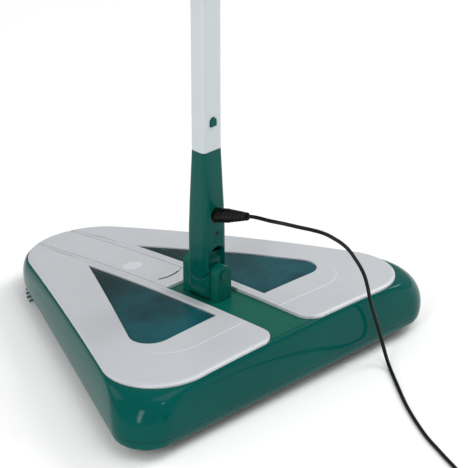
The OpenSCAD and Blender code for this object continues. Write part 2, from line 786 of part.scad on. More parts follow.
// ---------- motor and belt ----------
motor_y = rear_y + motor_in;
belt_w = 5;
belt_t = 1;
flange_t = 0.8;
motor_right = belt_x - belt_w / 2 - play - flange_t - 1.4;
motor_shaft_r = 1.2;
module motor() {
    color([0.7, 0.71, 0.73])
        translate([motor_right, motor_y, motor_z]) rotate([0, -90, 0]) difference() {
            union() {
                cylinder(r = motor_r, h = motor_l, $fn = fine);
                translate([0, 0, -0.8]) cylinder(r = 3, h = 1, $fn = fine);
                translate([0, 0, motor_l - 0.1]) cylinder(r = 3, h = 1.3, $fn = fine);
                for (y = [-5, 5]) translate([-1.5, y - 0.4, motor_l - 0.1]) cube([3, 0.8, 4]);
            }
            translate([0, 0, -2]) cylinder(r = motor_shaft_r + running, h = 8, $fn = fine);
        }
}
module motor_cradle() {
    long = motor_l - 4;
    color([0.12, 0.12, 0.13])
        difference() {
            translate([motor_right - motor_l + 2, motor_y - motor_r - 1, tray_top + seam])
                cube([long, 2 * motor_r + 2, motor_z - tray_top - 2]);
            translate([motor_right - motor_l, motor_y, motor_z]) rotate([0, 90, 0])
                cylinder(r = motor_r + seam, h = motor_l + 4, $fn = fine);
            translate([motor_right - motor_l + 4.5, motor_y - 20, tray_top + 2]) cube([long - 5, 40, 7]);
        }
}
module pulley(r) {
    side = belt_w / 2 + play;
    rotate([0, 90, 0]) {
        translate([0, 0, -side - flange_t]) cylinder(r = r + 1, h = flange_t, $fn = fine);
        translate([0, 0, -side - flange_t]) cylinder(r = r - play, h = 2 * (side + flange_t), $fn = fine);
        translate([0, 0, side]) cylinder(r = r + 1, h = flange_t, $fn = fine);
    }
}
module motor_pulley() {
    color([0.8, 0.72, 0.45])
        translate([belt_x, motor_y, motor_z]) {
            pulley(drive_r);
            translate([motor_right - belt_x - 5, 0, 0]) rotate([0, 90, 0])
                cylinder(r = motor_shaft_r, h = 8, $fn = fine);
        }
}
module roller_pulley() {
    color([0.12, 0.12, 0.13])
        translate([belt_x, meet.y, axle_z]) difference() {
            pulley(driven_r);
            rotate([0, 90, 0]) cylinder(r = core_r + 0.02, h = 40, center = true, $fn = fine);
        }
}
module drive_belt() {
    rise = atan2(motor_z - axle_z, motor_y - meet.y);
    gap = norm([motor_z - axle_z, motor_y - meet.y]);
    lean = acos((driven_r - drive_r) / gap);
    // outline of the loop grown by t, round both pulleys
    function loop(t) = concat(
        arc([meet.y, axle_z], driven_r + t, rise + lean, rise + 360 - lean, 30),
        arc([motor_y, motor_z], drive_r + t, rise - lean, rise + lean, 20)
    );
    color([0.08, 0.08, 0.09])
        translate([belt_x - belt_w / 2, 0, 0]) rotate([90, 0, 90]) linear_extrude(belt_w) difference() {
            polygon(loop(belt_t));
            polygon(loop(0));
        }
}

// ---------- handle joint ----------
recline_max = 50;
knuckle_r = swivel_z - crown(0, handle_y - neck_d / 2, deck_drop) - play;
shoulder = tongue_r + 3;
module at_swivel() { translate([0, handle_y, swivel_z]) rotate([90, 0, 0]) children(); }
module at_recline() { translate([0, handle_y, tilt_z]) rotate([0, 90, 0]) children(); }
module handle_yoke() {
    color([0.01, 0.3, 0.28])
        difference() {
            union() {
                crown_skin(under_drop + seam, under_drop + seam + yoke_t)
                    translate([-yoke_half_w, handle_y - yoke_half_d]) square([2 * yoke_half_w, 2 * yoke_half_d]);
                for (s = [-1, 1]) {
                    y = handle_y + (s > 0 ? ear_in : -ear_out);
                    translate([-ear_w / 2, y, band_z - 3.9]) cube([ear_w, ear_t, swivel_up + 3.9]);
                    translate([0, y, swivel_z]) rotate([-90, 0, 0]) cylinder(r = ear_w / 2, h = ear_t, $fn = fine);
                }
            }
            at_swivel() cylinder(r = pin_r + running, h = 80, center = true, $fn = fine);
            for (p = yoke_bolts) translate([p.x, p.y, 0]) cylinder(r = boss_r + 0.1, h = crown_h, $fn = fine);
            // mould relief under the ears
            translate([-3, handle_y - 3, 0]) cube([6, 6, crown_h]);
        }
}
module yoke_screws() {
    color([0.62, 0.63, 0.65])
        for (p = yoke_bolts) translate([p.x, p.y, crown(p.x, p.y, under_drop + seam) - yoke_t - 1.5]) {
            cylinder(r = boss_r + 1, h = 1.2, $fn = fine);
            cylinder(r = post_bore - 0.02, h = yoke_t + 2, $fn = fine);
        }
}
module swivel_pin() {
    color([0.72, 0.73, 0.75])
        at_swivel() {
            cylinder(r = pin_r, h = 2 * ear_out + 1.2, center = true, $fn = fine);
            translate([0, 0, ear_out + 0.1]) cylinder(r = 4, h = 1.2, $fn = fine);
            translate([0, 0, -ear_out - 0.9]) cylinder(r = 3.4, h = 0.8, $fn = fine);
        }
}
module knuckle() {
    color([0.01, 0.3, 0.28])
        difference() {
            union() {
                intersection() {
                    translate([0, handle_y, band_z - 10]) bar(neck_w, neck_d, 5, swivel_up + 20);
                    union() {
                        at_swivel() cylinder(r = knuckle_r, h = 40, center = true, $fn = 180);
                        translate([-20, handle_y - 20, swivel_z]) cube([40, 40, 20]);
                    }
                    translate([-20, handle_y - 20, 0]) cube([40, 40, tilt_z - 3]);
                }
                intersection() {
                    translate([-ear_w / 2 - 0.4, handle_y - tongue_r, swivel_z]) cube([ear_w + 0.8, 2 * tongue_r, 30]);
                    union() {
                        at_recline() cylinder(r = tongue_r, h = 40, center = true, $fn = fine);
                        translate([-20, handle_y - 20, 0]) cube([40, 40, tilt_z]);
                    }
                }
            }
            // saddle for the neck's cheeks over the whole recline
            for (s = [-1, 1]) mirrored(s) translate([ear_w / 2 + 0.4, handle_y, tilt_z]) {
                rotate([0, 90, 0]) cylinder(r = neck_d / 2 + play, h = 10, $fn = fine);
                for (a = [0, recline_max]) rotate([a, 0, 0])
                    translate([0, -neck_d / 2 - play, 0]) cube([10, neck_d + 2 * play, 40]);
            }
            at_swivel() cylinder(r = pin_r + running, h = 80, center = true, $fn = fine);
            at_recline() cylinder(r = pin_r + running, h = 80, center = true, $fn = fine);
        }
}
module recline_pin() {
    color([0.72, 0.73, 0.75]) at_recline() cylinder(r = pin_r, h = neck_w - 0.6, center = true, $fn = fine);
}

// ---------- neck ----------
neck_mid = 75;
arch_r = cheek_in + 0.4;
arch_top = 14.5;
// The neck's body, or its inside when shrunk by its wall
module neck_body(shrink) {
    s = 2 * shrink;
    r = 5 - shrink;
    translate([0, handle_y, 0]) {
        translate([0, 0, tilt_z - neck_d / 2]) bar(neck_w - s, neck_d - s, r, neck_full - tilt_up + neck_d / 2);
        hull() {
            translate([0, 0, band_z + neck_full - 0.01]) bar(neck_w - s, neck_d - s, r, 0.01);
            translate([0, 0, band_z + neck_mid]) bar(neck_w - 0.4 - s, neck_d - 2 - s, r - 0.4, 0.01);
        }
        hull() {
            translate([0, 0, band_z + neck_mid]) bar(neck_w - 0.4 - s, neck_d - 2 - s, r - 0.4, 0.01);
            translate([0, 0, neck_top - 0.01]) bar(tube_w - s, tube_d - s, shrink > 0 ? 1 : tube_r, 0.01);
        }
    }
}
jack_face = neck_d / 2 - 0.62;
jack_z = band_z + jack_up;
// z points out of the socket, from the middle of its mouth
module at_jack() { translate([0, handle_y - jack_face, jack_z]) rotate([90 - jack_lean, 0, 0]) children(); }
neck_bolts = [tilt_z + 18.5, neck_top - 30];
light_z = band_z + light_up;
module neck_shell(front) {
    y0 = front ? handle_y - 40 : handle_y + seam / 2;
    y1 = front ? handle_y - seam / 2 : handle_y + 40;
    side = front ? -1 : 1;
    difference() {
        intersection() {
            union() {
                difference() {
                    neck_body(0);
                    intersection() {
                        neck_body(neck_wall);
                        translate([-20, handle_y - 20, tilt_z + tongue_r]) cube([40, 40, 200]);
                    }
                    // the top stays open
                    translate([0, handle_y, neck_top - 1])
                        bar(tube_w - 2 * neck_wall, tube_d - 2 * neck_wall, 1, 2);
                }
                for (z = neck_bolts)
                    translate([0, handle_y, z]) rotate([90, 0, 0])
                        cylinder(r = 3, h = z > band_z + neck_mid ? 16 : 20, center = true, $fn = fine);
            }
            union() {
                at_recline() cylinder(r = neck_d / 2 - 0.1, h = 40, center = true, $fn = fine);
                translate([-20, handle_y - 20, tilt_z]) cube([40, 40, 200]);
            }
            translate([-20, y0, 0]) cube([40, y1 - y0, 400]);
        }
        // room for the tongue and, in front, for the ear
        translate([-cheek_in, handle_y - 20, 0]) cube([2 * cheek_in, 40, tilt_z]);
        at_recline() cylinder(r = tongue_r + 0.4, h = 2 * cheek_in, center = true, $fn = fine);
        translate([-arch_r, handle_y - 20, 0]) cube([2 * arch_r, 14, tilt_z + arch_top - arch_r]);
        translate([0, handle_y - 6, tilt_z + arch_top - arch_r]) rotate([90, 0, 0])
            cylinder(r = arch_r, h = 20, $fn = fine);
        at_recline() cylinder(r = pin_r + running, h = 80, center = true, $fn = fine);
        at_jack() translate([0, 0, -20]) cylinder(r = plug_r + 0.35, h = 30, $fn = fine);
        translate([0, handle_y, light_z]) rotate([90, 0, 0]) cylinder(r = 1.6, h = 20, $fn = fine);
        for (z = neck_bolts) translate([0, handle_y, z]) rotate([90, 0, 0]) {
            translate([0, 0, -20]) cylinder(r = 1.2, h = 27, $fn = fine);
            if (!front) translate([0, 0, -20]) cylinder(r = 1.4, h = 20, $fn = fine);
            translate([0, 0, -20]) cylinder(r = 2.6, h = 14.2, $fn = fine);
        }
    }
}
module neck_front() { color([0.01, 0.32, 0.29]) neck_shell(true); }
module neck_back() { color([0.01, 0.32, 0.29]) neck_shell(false); }
module neck_screws() {
    color([0.62, 0.63, 0.65])
        for (z = neck_bolts) translate([0, handle_y, z]) rotate([90, 0, 0]) {
            translate([0, 0, -6.1]) cylinder(r = 1.18, h = 12.6, $fn = fine);
            difference() {
                translate([0, 0, -7.55]) cylinder(r = 2.4, h = 1.5, $fn = fine);
                for (a = [0, 90]) rotate([0, 0, a]) translate([-1.4, -0.25, -8]) cube([2.8, 0.5, 1.2]);
            }
        }
}
module charging_socket() {
    color([0.09, 0.09, 0.1])
        at_jack() difference() {
            union() {
                translate([0, 0, -11]) cylinder(r = plug_r + 0.2, h = 10.9, $fn = fine);
                translate([0, 0, -13]) cylinder(r = 1.2, h = 3, $fn = fine);
            }
            translate([0, 0, -9.4]) cylinder(r = 2.8, h = 20, $fn = fine);
        }
}
board_y = 4.2;
module charge_light() {
    color([0.3, 0.75, 0.4])
        translate([0, handle_y, light_z]) rotate([90, 0, 0]) {
            translate([0, 0, -board_y]) cylinder(r = 1.5, h = neck_d / 2 + board_y, $fn = fine);
            translate([0, 0, neck_d / 2]) scale(1) cylinder(r = 1.1, h = 0.4, $fn = fine);
        }
}
module charge_board() {
    low = light_z - 2;
    color([0.1, 0.4, 0.2])
        translate([-6.5, handle_y + board_y + 0.05, low]) cube([13, 1.4, neck_bolts[1] - 4 - low]);
}

// ---------- handle tubes ----------
spigot_h = 38;
sleeve_w = tube_w - 2 * tube_wall - 0.3;
sleeve_d = tube_d - 2 * tube_wall - 0.3;
sleeve_wall = 2;
button_z = tube_foot + button_up;
module sleeve_cut() {
    translate([0, handle_y, 0]) bar(sleeve_w - 2 * sleeve_wall, sleeve_d - 2 * sleeve_wall, 1, 2000);
}
module button_outline(grow) {
    // round top, flat bottom
    w = 5.5 / 2 + grow;
    polygon(concat([[-w, -3.2 - grow], [w, -3.2 - grow]], arc([0, 0.5], w, 0, 180, 16)));
}
module button_hole(depth) {
    translate([0, handle_y, button_z]) rotate([90, 0, 0]) linear_extrude(depth) button_outline(play);
}
module tube_spigot() {
    in_w = tube_w - 2 * neck_wall - 0.2;
    in_d = tube_d - 2 * neck_wall - 0.2;
    color([0.2, 0.21, 0.22])
        difference() {
            union() {
                translate([0, handle_y, neck_top - 14]) bar(in_w, in_d, 1, 14.4);
                translate([0, handle_y, tube_foot]) bar(sleeve_w, sleeve_d, tube_r - tube_wall, spigot_h);
            }
            sleeve_cut();
            button_hole(20);
        }
}
module tube(foot, length) {
    translate([0, handle_y, foot]) difference() {
        bar(tube_w, tube_d, tube_r, length);
        translate([0, 0, -clear]) bar(tube_w - 2 * tube_wall, tube_d - 2 * tube_wall, tube_r - tube_wall, length + 2 * clear);
    }
}
module lower_tube() {
    color([0.8, 0.82, 0.82])
        difference() {
            tube(tube_foot, lower_l);
            button_hole(20);
        }
}
module snap_button() {
    front = tube_d / 2 + 1.2;
    back = sleeve_d / 2 - sleeve_wall - 0.2;
    color([0.03, 0.36, 0.33])
        translate([0, handle_y, button_z]) rotate([90, 0, 0]) {
            translate([0, 0, back - 0.9]) linear_extrude(front - back + 0.9) button_outline(0);
            translate([0, 0, back - 1]) linear_extrude(1) button_outline(0.9);
        }
}
module button_spring() {
    at = sleeve_d / 2 - sleeve_wall;
    near = -at + 1.35;
    far = at - 0.2;
    t = 0.35;
    color([0.75, 0.76, 0.78])
        translate([-2, handle_y, button_z]) rotate([90, 0, 90]) linear_extrude(4)
            polygon([
                [near, 2], [near + t, 2], [far, -7], [far, -14], [far - t, -14], [far - t, -7.1], [near, 1]
            ]);
}
module tube_joiner() {
    color([0.2, 0.21, 0.22])
        difference() {
            union() {
                translate([0, handle_y, joiner_z - 28]) bar(sleeve_w, sleeve_d, tube_r - tube_wall, 2 * 28 + joiner_h);
                translate([0, handle_y, joiner_z + seam]) bar(tube_w + 1, tube_d + 1, tube_r + 0.5, joiner_h);
            }
            sleeve_cut();
        }
}
module upper_tube() { color([0.8, 0.82, 0.82]) tube(upper_foot, upper_l); }

// ---------- grip ----------
switch_z = grip_foot + grip_l * 0.62;
cap_h = 24;
module grip() {
    body_h = grip_l - cap_h;
    color([0.02, 0.28, 0.26])
        translate([0, handle_y, grip_foot]) difference() {
            union() {
                hull() {
                    bar(tube_w + 5, tube_d + 5, 6, 0.01);
                    translate([0, 0, 30]) bar(grip_w - 3, grip_d - 3, 9, 0.01);
                }
                hull() {
                    translate([0, 0, 30]) bar(grip_w - 3, grip_d - 3, 9, 0.01);
                    translate([0, 0, 62]) bar(grip_w, grip_d, 10, 0.01);
                }
                hull() {
                    translate([0, 0, 62]) bar(grip_w, grip_d, 10, 0.01);
                    translate([0, 0, body_h - 0.01]) bar(grip_w - 2, grip_d - 3, 9, 0.01);
                }
            }
            translate([0, 0, -clear]) bar(tube_w + 0.2, tube_d + 0.2, tube_r, grip_hold + clear + 0.1);
            translate([0, 0, grip_hold + 4]) bar(grip_w - 9, grip_d - 8, 5, body_h - grip_hold - 8);
            translate([0, 0, body_h - 6]) bar(12, 10, 2, 20);
            translate([0, 0, switch_z - grip_foot]) rotate([90, 0, 0]) linear_extrude(40) switch_outline(play);
        }
}
module switch_outline(grow) {
    polygon(concat(arc([0, 5], 4.5 + grow, 0, 180, 16), arc([0, -5], 4.5 + grow, 180, 360, 16)));
}
module power_button() {
    front = grip_d / 2 + 0.9;
    back = grip_d / 2 - 4 - 0.4;
    color([0.75, 0.77, 0.78])
        translate([0, handle_y, switch_z]) rotate([90, 0, 0]) {
            translate([0, 0, back - 1]) linear_extrude(front - back + 1) switch_outline(0);
            translate([0, 0, back - 1.4]) linear_extrude(1.4) switch_outline(1);
        }
}
module hanging_cap() {
    foot = grip_top - cap_h + seam;
    head_r = grip_w / 2 - 2;
    color([0.02, 0.28, 0.26])
        difference() {
            union() {
                translate([0, handle_y + 8, foot]) rotate([90, 0, 0]) linear_extrude(16) polygon(concat(
                    [[-head_r, 0], [head_r, 0]],
                    arc([0, cap_h - seam - head_r], head_r, 0, 180, 24)
                ));
                translate([0, handle_y, foot - 5]) bar(11.8, 9.8, 2, 6);
            }
            translate([0, handle_y, grip_top - head_r]) rotate([90, 0, 0])
                cylinder(r = hang_r, h = 40, center = true, $fn = fine);
        }
}

// ---------- charger ----------
module charger_plug() {
    color([0.06, 0.06, 0.07])
        at_jack() {
            translate([0, 0, -9]) difference() {
                cylinder(r = 2.75, h = 9.3, $fn = fine);
                translate([0, 0, -clear]) cylinder(r = 1.25, h = 8, $fn = fine);
            }
            translate([0, 0, 0.25]) cylinder(r = plug_r, h = 12, $fn = fine);
            translate([0, 0, 12.25]) cylinder(r1 = plug_r, r2 = 3, h = plug_l - 12.25, $fn = fine);
        }
}
plug_end = [0, handle_y - jack_face - plug_l * cos(jack_lean), jack_z + plug_l * sin(jack_lean)];
cord_r = cord_d / 2;
coil_at = [-60, -336];
coil_mean = 16.5;
coil_turns = 12;
coil_layers = 4;
coil_pitch = cord_d + 0.15;
// Radius of the outermost turn, and of the whole coil's outer and inner faces
coil_r = coil_mean + (coil_turns / coil_layers) * coil_pitch / 2;
coil_out = coil_r + cord_r;
coil_in = 2 * coil_mean - coil_out;
coil_h = coil_layers * coil_pitch;
// Middle line of the lead, from the plug down to the floor and away to its coil
plug_out = [0, -cos(jack_lean), sin(jack_lean)];
route = [
    plug_end + 0.1 * plug_out, plug_end + 4 * plug_out, [1, -96, 126.2], [3.5, -105.5, 126.2],
    [8, -115, 125.7], [14.5, -123.5, 123.7], [21, -129.2, 121.4], [29, -134, 117.6], [38, -136.5, 111],
    [46, -138, 104], [51.5, -139.5, 97.5],
    [56, -140.5, 90.5], [60.5, -141.5, 83], [63.5, -143.5, 75], [65.5, -145, 66], [69, -145, 53.5],
    [73, -144.8, 42.5], [76.6, -145, 33], [79.2, -146, 23.5], [80.3, -148.2, 14.8], [79, -152.8, 7.4],
    [75, -159.8, 3], [68, -170, cord_r], [59.5, -181.6, cord_r], [50.6, -193.8, cord_r], [41.5, -206.8, cord_r],
    [33.2, -220, cord_r], [25.3, -233.7, cord_r], [18.2, -247.3, cord_r], [12, -262, cord_r], [6.5, -275, cord_r],
    [1, -288, cord_r], [-7, -299, cord_r], [-18, -307, cord_r], [-31, -312, cord_r], [-46, -314.4, cord_r],
    [coil_at.x, coil_at.y + coil_r, cord_r]
];
function along(k) = let(
        a = route[max(k - 1, 0)],
        b = route[min(k + 1, len(route) - 1)]
    ) (b - a) / norm(b - a);
cord_sides = 8;
module charger_cord() {
    // rings of points square to the line, joined into one closed skin
    points = [for (k = [0:len(route) - 1])
        let(t = along(k), u = cross([0.3, 0.9, 0.1], t) / norm(cross([0.3, 0.9, 0.1], t)), v = cross(t, u))
        for (i = [0:cord_sides - 1]) let(a = 360 * i / cord_sides)
            route[k] + cord_r * (u * cos(a) + v * sin(a))];
    n = cord_sides;
    last = len(route) - 1;
    sides = [for (k = [0:last - 1]) for (i = [0:n - 1])
        let(a = k * n + i, b = k * n + (i + 1) % n, c = b + n, d = a + n)
        each [[a, c, b], [a, d, c]]];
    color([0.06, 0.06, 0.07])
        polyhedron(points, concat([[for (i = [0:n - 1]) i]], sides, [[for (i = [n - 1:-1:0]) last * n + i]]));
}
module cord_coil() {
    color([0.06, 0.06, 0.07])
        translate([coil_at.x, coil_at.y, 0]) rotate_extrude($fn = fine)
            translate([coil_in, 0]) square([coil_out - coil_in, coil_h]);
}
module coil_tie() {
    w = 6;
    band = 1.2;
    near = sqrt(pow(coil_in, 2) - pow(w / 2, 2)) - play;
    color([0.12, 0.12, 0.13])
        translate([coil_at.x, coil_at.y - w / 2, 0]) difference() {
            translate([near - band, 0, 0]) cube([coil_out + play - near + 2 * band, w, coil_h + play + band]);
            translate([near, -clear, -clear]) cube([coil_out + play - near, w + 2 * clear, coil_h + play + clear]);
        }
}
adapter_d = 58;
adapter_h = 30;
lead_y = coil_at.y + coil_r;
lead_z = cord_r + 1.2;
adapter_at = [coil_at.x - coil_out - 12 - adapter_w / 2, lead_y];
module adapter_lead() {
    // short run from the coil to the adapter's bush
    to = adapter_at.x + adapter_w / 2 + 6;
    color([0.06, 0.06, 0.07])
        rod([to + 0.4, lead_y, lead_z], [coil_at.x, lead_y, coil_h - coil_pitch + cord_r], cord_d);
}
module wall_adapter() {
    color([0.07, 0.07, 0.08])
        translate([adapter_at.x, adapter_at.y, 0]) {
            bar(adapter_w, adapter_d, 6, adapter_h);
            // strain relief towards the lead
            translate([adapter_w / 2 - 0.5, 0, lead_z]) rotate([0, 90, 0])
                cylinder(r1 = 3, r2 = cord_r + 0.4, h = 6.4, $fn = fine);
            // two flat prongs on the top face
            for (x = [-6.35, 6.35])
                translate([x - 0.75, -3.2, adapter_h - 0.5]) cube([1.5, 6.4, 17]);
        }
}

base_tray();
bumper();
top_deck();
left_cover();
right_cover();
centre_pad();
left_window();
right_window();
battery_lid();
battery_cells();
battery_cradle();
housing_screws();
glide_feet();
left_dust_bin();
right_dust_bin();
left_dust_door();
right_dust_door();
door_pins();
nose_brushes();
roller_bushes();
rear_roller_core();
rear_roller_tufts();
rear_gears();
left_roller_core();
left_roller_tufts();
left_gear();
right_roller_core();
right_roller_tufts();
right_gear();
motor();
motor_cradle();
motor_pulley();
roller_pulley();
drive_belt();
handle_yoke();
yoke_screws();
swivel_pin();
knuckle();
recline_pin();
neck_front();
neck_back();
neck_screws();
charging_socket();
charge_light();
charge_board();
tube_spigot();
lower_tube();
snap_button();
button_spring();
tube_joiner();
upper_tube();
grip();
power_button();
hanging_cap();
charger_plug();
charger_cord();
cord_coil();
coil_tie();
adapter_lead();
wall_adapter();
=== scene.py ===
import json
import math
import random
import bmesh
import bpy
from mathutils import Matrix, Vector


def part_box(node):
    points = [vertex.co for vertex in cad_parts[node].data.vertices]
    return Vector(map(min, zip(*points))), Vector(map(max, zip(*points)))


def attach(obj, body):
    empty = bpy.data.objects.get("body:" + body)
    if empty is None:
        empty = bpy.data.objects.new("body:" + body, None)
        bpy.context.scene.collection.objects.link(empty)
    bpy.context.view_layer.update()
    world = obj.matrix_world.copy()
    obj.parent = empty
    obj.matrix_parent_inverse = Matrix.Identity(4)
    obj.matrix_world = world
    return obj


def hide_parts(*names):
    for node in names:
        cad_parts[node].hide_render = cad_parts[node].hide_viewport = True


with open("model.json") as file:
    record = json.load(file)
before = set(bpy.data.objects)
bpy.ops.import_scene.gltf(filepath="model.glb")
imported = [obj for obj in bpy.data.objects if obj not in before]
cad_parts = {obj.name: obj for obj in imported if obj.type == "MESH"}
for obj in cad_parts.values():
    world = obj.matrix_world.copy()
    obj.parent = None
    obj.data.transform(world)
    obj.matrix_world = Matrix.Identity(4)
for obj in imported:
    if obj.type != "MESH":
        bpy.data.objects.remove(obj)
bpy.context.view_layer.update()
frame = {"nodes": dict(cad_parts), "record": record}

mm = 0.001
lots = random.Random(7)


# one socket of a shader, so that a pattern reads as a sum
class Signal:
    def __init__(self, finish, socket):
        self.finish = finish
        self.socket = socket

    def sum(self, kind, *parts):
        return self.finish.node("ShaderNodeMath", {"operation": kind}, dict(enumerate(parts)))

    def __add__(self, other):
        return self.sum("ADD", self, other)

    __radd__ = __add__

    def __sub__(self, other):
        return self.sum("SUBTRACT", self, other)

    def __rsub__(self, other):
        return self.sum("SUBTRACT", other, self)

    def __mul__(self, other):
        return self.sum("MULTIPLY", self, other)

    def __truediv__(self, other):
        return self.sum("DIVIDE", self, other)

    def __pow__(self, other):
        return self.sum("POWER", self, other)

    def __abs__(self):
        return self.sum("ABSOLUTE", self)

    def largest(self, other):
        return self.sum("MAXIMUM", self, other)

    def over(self, other):
        return self.sum("GREATER_THAN", self, other)

    def root(self):
        return self.sum("SQRT", self)

    def between(self, low, high):  # 0 below low, 1 above high
        return self.finish.node(
            "ShaderNodeMapRange",
            {"interpolation_type": "SMOOTHSTEP"},
            {"Value": self, "From Min": low, "From Max": high},
        )


class Finish:  # a material under construction
    def __init__(self, name):
        self.material = bpy.data.materials.new(name)
        self.material.use_nodes = True
        self.tree = self.material.node_tree
        self.tree.nodes.clear()
        self.place = self.node("ShaderNodeTexCoord", {}, {}, "Object")

    def node(self, kind, settings, inputs, output=0):
        made = self.tree.nodes.new(kind)
        for name, value in settings.items():
            setattr(made, name, value)
        for name, value in inputs.items():
            if isinstance(value, Signal):
                self.tree.links.new(value.socket, made.inputs[name])
            else:
                made.inputs[name].default_value = value
        return Signal(self, made.outputs[output])

    def noise(self, scale, detail=2.0, rough=0.5, stretch=None):
        where = self.place if stretch is None else self.node(
            "ShaderNodeVectorMath", {"operation": "MULTIPLY"}, {0: self.place, 1: stretch})
        return self.node("ShaderNodeTexNoise", {"noise_dimensions": "3D"},
                         {"Vector": where, "Scale": scale, "Detail": detail, "Roughness": rough}, "Fac")

    def axes(self):
        split = self.node("ShaderNodeSeparateXYZ", {}, {"Vector": self.place})
        outs = split.socket.node.outputs
        return [Signal(self, outs[i]) for i in range(3)]

    def blend(self, amount, first, second):
        made = self.tree.nodes.new("ShaderNodeMix")
        made.data_type = "RGBA"
        ends = [spot for spot in made.inputs if spot.type == "RGBA"]
        for spot, value in zip([made.inputs[0]] + ends, (amount, first, second)):
            if isinstance(value, Signal):
                self.tree.links.new(value.socket, spot)
            else:
                spot.default_value = value
        return Signal(self, [s for s in made.outputs if s.type == "RGBA"][0])

    def bump(self, height, distance, strength=1.0):
        inputs = {"Height": height, "Distance": distance, "Strength": strength}
        return self.node("ShaderNodeBump", {}, inputs)

    def close(self, **sockets):
        inputs = {key.replace("_", " "): value for key, value in sockets.items()}
        shader = self.node("ShaderNodeBsdfPrincipled", {}, inputs)
        out = self.tree.nodes.new("ShaderNodeOutputMaterial")
        self.tree.links.new(shader.socket, out.inputs["Surface"])
        return self.material


def paint(red, green, blue):  # screen colour, 0 to 255, to the shader's own scale
    def one(c):
        c = c / 255
        return c / 12.92 if c <= 0.04045 else ((c + 0.055) / 1.055) ** 2.4
    return (one(red), one(green), one(blue), 1.0)


def shade(colour, factor):
    return tuple(min(1.0, c * factor) for c in colour[:3]) + (1.0,)


greenGloss = {"colour": paint(0, 80, 74), "roughness": 0.1, "grain": 0.02, "grainScale": 260, "shine": 0.09,
              "seam": 16 * mm}
greenSatin = {"colour": paint(0, 88, 74), "roughness": 0.34, "grainScale": 1500, "shine": 0.16,
              "lineAt": -110 * mm, "edgeAt": -132.5 * mm, "lineHalf": 16.5 * mm}
neckGreen = {"colour": paint(0, 80, 73), "roughness": 0.11, "grain": 0.02, "grainScale": 320, "shine": 0.14}
lampLens = {"colour": paint(10, 14, 12), "roughness": 0.12, "grain": 0.02, "grainScale": 400, "shine": 0.4}
greenUnder = {"colour": paint(2, 66, 62), "roughness": 0.5, "grain": 0.05, "grainScale": 1300}
silverLacquer = {"colour": paint(198, 201, 205), "roughness": 0.46, "flakeScale": 1500,
                 "metallic": 0.22, "ridgeY": -103 * mm, "ridgeX": 66 * mm, "ridgeR": 31 * mm,
                 "ovalAt": (-5 * mm, 32 * mm), "ovalHalf": (8 * mm, 7 * mm), "slotRadius": 26.4 * mm,
                 "slotCentre": 21.41 * mm, "slotHalf": 11 * mm}
paneTint = {"colour": paint(16, 80, 88), "deep": paint(9, 55, 60), "nose": paint(4, 32, 34),
            "roughness": 0.24, "shine": 0.12, "clear": 0.94}
blackRubber = {"colour": paint(9, 7, 7), "roughness": 0.34, "grain": 0.03, "grainScale": 1600,
               "shine": 0.2}
blackPlastic = {"colour": paint(26, 26, 28), "roughness": 0.42, "grain": 0.04, "grainScale": 1800,
                "shine": 0.35}
tubeCoat = {"colour": paint(196, 204, 207), "roughness": 0.26, "grain": 0.012, "grainScale": 900}
bristleNylon = {"colour": paint(10, 52, 62), "tip": paint(16, 86, 92), "roughness": 0.4}
steelPlate = {"colour": paint(190, 192, 196), "roughness": 0.28}
brassTurned = {"colour": paint(196, 160, 92), "roughness": 0.3}
nylonWhite = {"colour": paint(232, 228, 214), "roughness": 0.48}
cellSleeve = {"colour": paint(50, 120, 70), "roughness": 0.35}
boardLacquer = {"colour": paint(26, 104, 58), "roughness": 0.3}


def moulded(name, look):
    # plastic: slow colour drift, fine moulding grain, faint handling marks in the gloss
    f = Finish(name)
    drift = f.noise(14, 3)
    grain = f.noise(look.get("grainScale", 900), 2)
    marks = f.noise(90, 6, 0.7, (1, 0.25, 1))
    colour = f.blend(drift.between(0.3, 0.7), shade(look["colour"], 0.94), shade(look["colour"], 1.05))
    rough = look["roughness"] + (marks.between(0.55, 0.8) * 0.09) + (drift - 0.5) * 0.03
    height = grain * look.get("grain", 0.03)
    if "seam" in look:  # the parting line low round the body
        x, y, z = f.axes()
        seam = 1 - abs(z - look["seam"]).between(0.15 * mm, 0.5 * mm)
        colour = f.blend(seam * 0.6, colour, shade(look["colour"], 0.35))
        height = height - seam * 0.3
    normal = f.bump(height, 1 * mm, 0.6)
    return f.close(Base_Color=colour, Roughness=rough, Normal=normal, IOR=1.5,
                   Specular_IOR_Level=look.get("shine", 0.5))


def bandFinish():
    # satin green with the fine engraved line across the band behind the handle, its groove darkened as
    # painted shade
    look = greenSatin
    f = Finish("band green")
    x, y, z = f.axes()
    grain = f.noise(look["grainScale"], 2)
    drift = f.noise(12, 3)
    line = 1 - abs(y - look["lineAt"]).between(0.1 * mm, 0.5 * mm)
    edge = 1 - abs(y - look["edgeAt"]).between(0.1 * mm, 0.5 * mm)
    groove = line.largest(edge) * abs(x).between(look["lineHalf"], look["lineHalf"] - 0.7 * mm)
    colour = f.blend(drift, shade(look["colour"], 0.92), shade(look["colour"], 1.05))
    # painted shade: the groove's colour darkened; the bump below cuts the real groove
    colour = f.blend(groove * 0.45, colour, shade(look["colour"], 0.45))
    normal = f.bump(grain * 0.05 - groove * 0.35, 1 * mm, 0.7)
    return f.close(Base_Color=colour, Roughness=look["roughness"] + drift * 0.06, Normal=normal, IOR=1.5,
                   Specular_IOR_Level=look["shine"])


